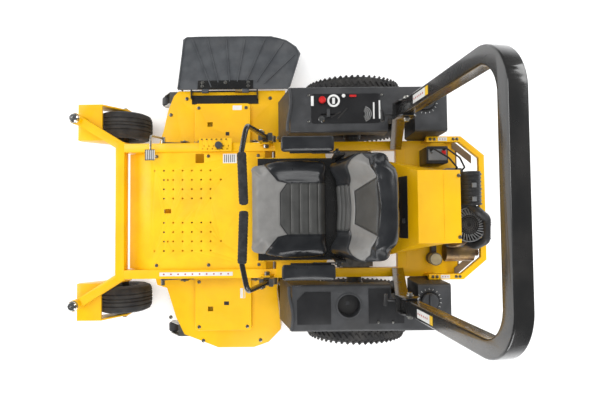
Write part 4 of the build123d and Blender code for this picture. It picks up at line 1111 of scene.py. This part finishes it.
def fuelCap(name, x, y):
    grips = []
    cap = lathe([(0.0, 0.0), (0.0, 0.042), (0.020, 0.042), (0.025, 0.038), (0.025, 0.020), (0.022, 0.0)],
                at(x, y, podTop),
                UP, 64)
    for k in range(24):
        turn = math.tau * k / 24
        spot = at(x + 0.0425 * math.cos(turn), y + 0.0425 * math.sin(turn), podTop + 0.002)
        grips.append(roundBar(spot, spot + Vector((0, 0, 0.018)), 0.0022, 0.0005, 8))
    bar = roundedBox(at(x - 0.034, y - 0.007, podTop + 0.021), at(x + 0.034, y + 0.007, podTop + 0.038),
                     0.004, 3)
    piece = group([cap, bar] + grips, "fuelCap_" + name, "podPlastic", "fuel_cap_" + name)
    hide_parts("fuel_cap_" + name)
    ticks = []
    for k in range(18):
        turn = math.tau * k / 18
        a = at(x + 0.055 * math.cos(turn), y + 0.055 * math.sin(turn), podTop + 0.0002)
        b = at(x + 0.064 * math.cos(turn), y + 0.064 * math.sin(turn), podTop + 0.0002)
        ticks.append(roundBar(a, b, 0.0009, 0, 6))
    group(ticks, "fuelTicks_" + name, "decalWhite", "root")
    group([ring((x, y, podTop + 0.002), UP, 0.046, 0.0535, 0.005)], "fuelNeck_" + name, "rimBlack", "root")


def makePods():
    fuelCap("right", -0.550, 0.658)
    fuelCap("left", 0.480, 0.658)
    group([ring((0.502, 0.246, podTop + 0.0005), UP, 0.0585, 0.066, 0.006)], "cupRim", "podPlastic", "root")
    group([ring((0.502, 0.246, 0.6445), UP, 0.012, 0.0575, 0.004)], "cupFloor", "rimBlack", "root")
    knob = lathe([(0, 0.0), (0, 0.017), (0.004, 0.0185), (0.012, 0.019), (0.018, 0.016), (0.021, 0.009),
                  (0.022, 0)],
                 at(-0.558, 0.120, 0.736), UP, 48)
    stem = roundBar(at(-0.558, 0.120, 0.712), at(-0.558, 0.120, 0.738), 0.008)
    piece = group([knob, stem], "ptoKnob", "redPlastic", "pto_knob")
    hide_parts("pto_knob")
    for number, (x, y) in enumerate(((0.585, 0.395), (0.585, 0.470), (0.435, 0.500))):
        group([roundBar(at(x, y, podTop), at(x, y, podTop + 0.0065), 0.006, 0.001, 12)],
              "lidScrew%d" % number,
              "zincSteel", "root")
    print("pods done")


# ---- control levers ----
leverGrip = {"radius": 0.0205, "ridges": 14, "first": 0.014, "pitch": 0.0155}


def makeLevers():
    for name, side in (("right", -1), ("left", 1)):
        body = "lever_" + name
        bar = softened("control_lever_" + name, "leverBar_" + name, "powderBlack", 0.001)
        y = -0.257
        start, end = at(side * 0.014, y, 1.0), at(side * 0.252, y - 0.009, 1.0)
        axis = (end - start).normalized()
        r = leverGrip["radius"]
        profile = [(0.002, 0.0), (0.002, r * 0.8), (0.006, r)]
        for k in range(leverGrip["ridges"]):
            d = leverGrip["first"] + k * leverGrip["pitch"]
            profile += [(d, r), (d + 0.003, r + 0.0012), (d + 0.011, r + 0.0012), (d + 0.014, r)]
        profile += [(0.236, r), (0.240, r * 0.8), (0.240, 0.013)]
        foam = lathe(profile, start, axis, 40)
        foam = finishPiece(foam, "leverGrip_" + name, "foamBlack", body)
        for number, spot in enumerate((at(side * 0.398, -0.203, 0.690), at(side * 0.400, -0.197, 0.640))):
            hexBolt(spot + Vector((side * 0.012, 0, 0)), (side, 0, 0), 0.0095,
                    "leverBolt%s%d" % (name, number),
                    "zincSteel", body, 0.006)
    print("levers done")


# ---- roll bar ----
def ropsPoint(side, along, sideways=0.0):
    # a place on the upright's centre line, measured up from the pivot
    lean = math.radians(7.4)
    return at(side * 0.460 + sideways, 0.505 + along * math.sin(lean), 0.950 + along * math.cos(lean))


def makeRollBar():
    bar = softened("rops_hoop", "rollBar", "powderBlack", 0.004, 3)
    lean = math.radians(7.4)
    front = Vector((0, -math.cos(lean), math.sin(lean)))
    for name, side in (("right", -1), ("left", 1)):
        labels = []
        for kind, low, high, wide in (("decalWhite", 0.170, 0.300, 0.036),
                                      ("decalYellow", 0.302, 0.330, 0.036)):
            spots = []
            for a, w in ((low, -1), (low, 1), (high, 1), (high, -1)):
                spots.append(ropsPoint(side, a, w * wide / 2) + front * 0.0322)
            mesh = bpy.data.meshes.new("label")
            mesh.from_pydata(spots + [s + front * 0.0006 for s in spots], [],
                             [(3, 2, 1, 0), (4, 5, 6, 7), (0, 1, 5, 4), (1, 2, 6, 5), (2, 3, 7, 6),
                              (3, 0, 4, 7)])
            label = bpy.data.objects.new("label", mesh)
            bpy.context.collection.objects.link(label)
            finishPiece(label, "ropsLabel_%s_%s" % (kind, name), kind, "rops_hoop")
        spots = []
        for k in range(6):
            spot = ropsPoint(side, 0.182 + 0.019 * k) + front * 0.0326
            labels.append(roundBar(spot, spot + front * 0.0008, 0.0042, 0, 14))
        group(labels, "ropsDots_" + name, "redPaint", "rops_hoop")
        bolt = []
        for flank in (-1, 1):
            spot = at(side * 0.460 + flank * 0.0465, 0.505, 0.950)
            bolt.append(roundBar(spot - Vector((flank * 0.002, 0, 0)), spot + Vector((flank * 0.004, 0, 0)),
                                 0.017, 0.0005, 28))
            bolt.append(roundBar(spot + Vector((flank * 0.003, 0, 0)), spot + Vector((flank * 0.014, 0, 0)),
                                 0.0125, 0.001, 6))
        group(bolt, "ropsPivotBolts_" + name, "zincSteel", "rops_hoop")
        handle = roundBar(at(side * 0.450, 0.490, 0.870), at(side * 0.446, 0.408, 0.874), 0.006, 0.001, 16)
        grip = roundBar(at(side * 0.418, 0.408, 0.874), at(side * 0.474, 0.404, 0.874), 0.0095, 0.002, 20)
        group([handle, grip], "ropsPinHandle_" + name, "rimBlack", "root")
    print("roll bar done")


# ---- engine bay ----
def makeEngine():
    # ribbed air filter canister with its bands
    ribs = []
    for k in range(9):
        x = -0.166 + 0.019 * k
        ribs.append(ring((x, 0.880, 0.722), (1, 0, 0), 0.046, 0.0545 if k % 4 else 0.057, 0.008, 40))
    group(ribs, "filterRibs", "enginePlastic", "root")
    clip = [roundedBox(at(-0.120, 0.868, 0.774), at(-0.096, 0.892, 0.781), 0.002),
            roundedBox(at(-0.050, 0.868, 0.774), at(-0.026, 0.892, 0.781), 0.002)]
    group(clip, "filterClips", "louvreGrey", "root")
    # fan screen with rings and spokes, then the louvres around it
    fan = (0.093, 0.877, 0.701)
    rings = [ring((*fan[:2], fan[2] + 0.002), UP, r, r + 0.003, 0.003, 56) for r in (0.012, 0.022, 0.032,
                                                                                     0.042)]
    for k in range(16):
        turn = math.tau * k / 16
        a = at(fan[0] + 0.012 * math.cos(turn), fan[1] + 0.012 * math.sin(turn), fan[2] + 0.002)
        b = at(fan[0] + 0.044 * math.cos(turn), fan[1] + 0.044 * math.sin(turn), fan[2] + 0.002)
        rings.append(roundBar(a, b, 0.0012, 0, 6))
    group(rings, "fanScreen", "castDark", "root")
    blades = []
    for k in range(30):
        turn = math.tau * k / 30
        bpy.ops.mesh.primitive_cube_add(size=1, location=at(fan[0] + 0.066 * math.cos(turn),
                                                            fan[1] + 0.066 * math.sin(turn), fan[2] + 0.002))
        blade = bpy.context.object
        blade.scale = (0.034, 0.0045, 0.008)
        blade.rotation_euler = (math.radians(24), 0, turn + math.radians(18))
        settle(blade)
        blades.append(blade)
    blades.append(ring((*fan[:2], fan[2] + 0.001), UP, 0.084, 0.090, 0.007, 64))
    group(blades, "fanLouvres", "louvreGrey", "root")
    # corrugated part of the intake hose
    hose = []
    for k in range(9):
        x = 0.070 + 0.012 * k
        hose.append(ring((x, 0.968, 0.690 if k > 2 else 0.700), (1, 0, 0), 0.020, 0.0245, 0.006, 32))
    group(hose, "hoseRibs", "enginePlastic", "root")
    # oil filter flutes
    filt = [lathe([(0, 0.0), (0, 0.030), (0.003, 0.0335), (0.084, 0.0345), (0.0885, 0.030), (0.0895, 0.0)],
                  at(0.285, 0.749, 0.4525), UP, 40)]
    for k in range(18):
        turn = math.tau * k / 18
        spot = at(0.285 + 0.0345 * math.cos(turn), 0.749 + 0.0345 * math.sin(turn), 0.515)
        filt.append(roundBar(spot, spot + Vector((0, 0, 0.022)), 0.002, 0.0005, 8))
    group(filt, "oilFilter", "filterTan", "root")
    # gold carburettor elbow
    elbow = [at(0.20, 0.800, 0.625), at(0.20, 0.820, 0.655), at(0.19, 0.850, 0.668), at(0.17, 0.875, 0.668)]
    group([bentPipe(elbow, 0.014, "elbow", 3, 4)], "carbElbow", "hotMetal", "root")
    # cooling fins on the cylinder heads
    fins = []
    for side in (-1, 1):
        for k in range(7):
            low, high = sorted((side * 0.174, side * 0.215))
            z = 0.505 + 0.013 * k
            fins.append(roundedBox(at(low, 0.80, z), at(high, 0.885, z + 0.005), 0.001, 1))
    group(fins, "headFins", "castGrey", "root")
    # battery cap strip and terminals
    strip = [roundedBox(at(-0.318, 0.700, 0.5995), at(-0.256, 0.801, 0.604), 0.002)]
    group(strip, "batteryStrip", "louvreGrey", "root")
    posts = [roundBar(at(-0.300, 0.716, 0.602), at(-0.300, 0.716, 0.614), 0.007, 0.001, 20)]
    group(posts, "batteryPostNear", "brightSteel", "root")
    group([roundedBox(at(-0.31, 0.772, 0.603), at(-0.286, 0.795, 0.612), 0.003)], "batteryCapRed",
          "redPlastic", "root")
    # engine top: bolts
    boltPlaces([((x, y, 0.6205), UP) for x in (-0.15, 0.15) for y in (0.65, 0.92)], 0.007, "engineBolts",
               "zincSteel",
               "root")
    print("engine details done")


def makeEngineCover():
    # black panel on the cover's front slope, with its latch and screws
    low, high = Vector((0, 0.483, 0.650)), Vector((0, 0.560, 0.832))
    slope = (high - low).normalized()
    out = Vector((0, -slope.z, slope.y))
    corners = []
    for width, d in ((0.158, 0.012), (0.158, 0.150)):
        corners.append((width, low + slope * d))
    mesh = bpy.data.meshes.new("panel")
    spots = []
    for lift in (-0.006, 0.0045):
        for x, index in ((-1, 0), (1, 0), (1, 1), (-1, 1)):
            width, place = corners[index]
            spots.append(at(x * width, place.y, place.z) + out * lift)
    mesh.from_pydata(spots, [], [(0, 3, 2, 1), (4, 5, 6, 7), (0, 1, 5, 4), (1, 2, 6, 5), (2, 3, 7, 6),
                                 (3, 0, 4, 7)])
    panel = bpy.data.objects.new("panel", mesh)
    bpy.context.collection.objects.link(panel)
    modify(panel, "BEVEL", width=0.003, segments=2)
    group([panel], "coverPanel", "panelBlack", "root")
    middle = low + slope * 0.115
    latch = roundedBox(at(0.055, middle.y - 0.012, middle.z + 0.002),
                       at(0.082, middle.y + 0.008, middle.z + 0.018), 0.004)
    group([latch], "coverLatch", "rimBlack", "root")
    seam = [roundedBox(at(x0, y0, 0.8596), at(x1, y1, 0.8616), 0.0008) for x0, y0, x1, y1 in
            ((-0.160, 0.700, 0.160, 0.703),)]
    group(seam, "coverSeam", "yellowPaint", "root")
    boltPlaces([((side * 0.150, 0.775, 0.8605), UP) for side in (-1, 1)], 0.007, "coverTopBolts",
               "zincSteel", "root")
    boltPlaces([((side * 0.170, 0.475, 0.660), (0, -1, 0.3)) for side in (-1, 1)], 0.007, "coverFrontBolts",
               "zincSteel", "root")
    print("engine cover details done")


def makeBumper():
    # guard bolts, labels, red dots and the diagonal plates behind the wheels
    for name, side in (("right", -1), ("left", 1)):
        plateBolts = [((side * 0.378, y, 0.566), UP) for y in (0.722, 0.745, 0.850, 0.870)]
        boltPlaces(plateBolts, 0.0065, "guardBolts_" + name, "zincSteel", "root")
        decal("guardLabel_" + name, square(side * 0.378, 0.790, 0.020, 0.050), 0.5658, "decalWhite", "root")
        dots = [roundBar(at(side * 0.378, 0.776 + 0.014 * k, 0.5662),
                         at(side * 0.378, 0.776 + 0.014 * k, 0.5668), 0.003,
                         0, 12) for k in range(3)]
        group(dots, "guardDots_" + name, "redPaint", "root")
        # the plates behind the wheels are dark brown: painted shade on yellow paint
        mesh = bpy.data.meshes.new("gusset")
        outline = [(side * 0.345, 0.880), (side * 0.392, 0.880), (side * 0.300, 0.990), (side * 0.255, 0.990)]
        points = [at(x, y, 0.4405) for x, y in outline] + [at(x, y, 0.4465) for x, y in outline]
        mesh.from_pydata(points, [], [(0, 1, 2, 3), (7, 6, 5, 4), (0, 4, 5, 1), (1, 5, 6, 2), (2, 6, 7, 3),
                                      (3, 7, 4, 0)])
        gusset = bpy.data.objects.new("gusset", mesh)
        bpy.context.collection.objects.link(gusset)
        active(gusset)
        bpy.ops.object.mode_set(mode="EDIT")
        bpy.ops.mesh.select_all(action="SELECT")
        bpy.ops.mesh.normals_make_consistent(inside=False)
        bpy.ops.object.mode_set(mode="OBJECT")
        group([gusset], "rearGusset_" + name, "paintedShadeBrown", "root")
    print("bumper details done")


# ---- front ----
def makeFront():
    # rings at the casters, and the marks of the height selector
    for name, side in (("right", -1), ("left", 1)):
        group([ring((side * 0.535, -1.328, 0.420), (0, 1, 0.2), 0.011, 0.015, 0.004, 32)],
              "lynchRing_" + name,
              "zincSteel", "root")
    labels = []
    for k in range(6):
        labels.append(roundedBox(at(-0.4105, -0.566 + 0.028 * k, 0.463),
                                 at(-0.4045, -0.556 + 0.028 * k, 0.4637), 0))
    group(labels, "heightMarks", "decalBlack", "root")
    # pedal tread
    grips = [roundedBox(at(-0.340, -0.864 + 0.011 * k, 0.5165), at(-0.287, -0.859 + 0.011 * k, 0.5195),
                        0.001, 1)
             for k in range(5)]
    group(grips, "pedalTread", "decalWhite", "lift_pedal")
    spring = coil(at(-0.395, -0.62, 0.405), at(-0.395, -0.50, 0.405), 0.010, 0.002, 14)
    group([spring], "liftSpring", "goldSteel", "root")
    # striped label along the left edge of the floor
    decal("floorLabel", square(0.365, -0.60, 0.022, 0.42), 0.4404, "decalWhite", "root")
    dots = [roundBar(at(0.365, -0.785 + 0.041 * k, 0.4408), at(0.365, -0.785 + 0.041 * k, 0.4414), 0.0045, 0,
                     14)
            for k in range(10)]
    group(dots, "floorLabelDots", "redPaint", "root")
    decal("floorPlate", square(-0.30, -0.405, 0.055, 0.080), 0.4303, "decalWhite", "root")
    lines = [roundedBox(at(-0.322, -0.437 + 0.011 * k, 0.4308), at(-0.278, -0.433 + 0.011 * k, 0.4313), 0)
             for k in range(6)]
    group(lines, "floorPlateLines", "decalBlack", "root")
    print("front details done")


# ---- run ----
addCamera()
addLights()
addFloor()
makeFinishes()
dressNodes()
print("nodes dressed")
makeCushion()
makeBackrest()
makeArmrests()
for wheelName, wheelSide in (("right", -1), ("left", 1)):
    makeDriveTyre(wheelName, wheelSide)
    makeDriveHub(wheelName, wheelSide)
    makeCasterWheel(wheelName, wheelSide)
print("wheels done")
makeChute()
easeNodes()
makeDeckDetails()
makeFloorDetails()
makeConsole()
makePods()
makeLevers()
makeRollBar()
makeEngine()
makeEngineCover()
makeBumper()
makeFront()
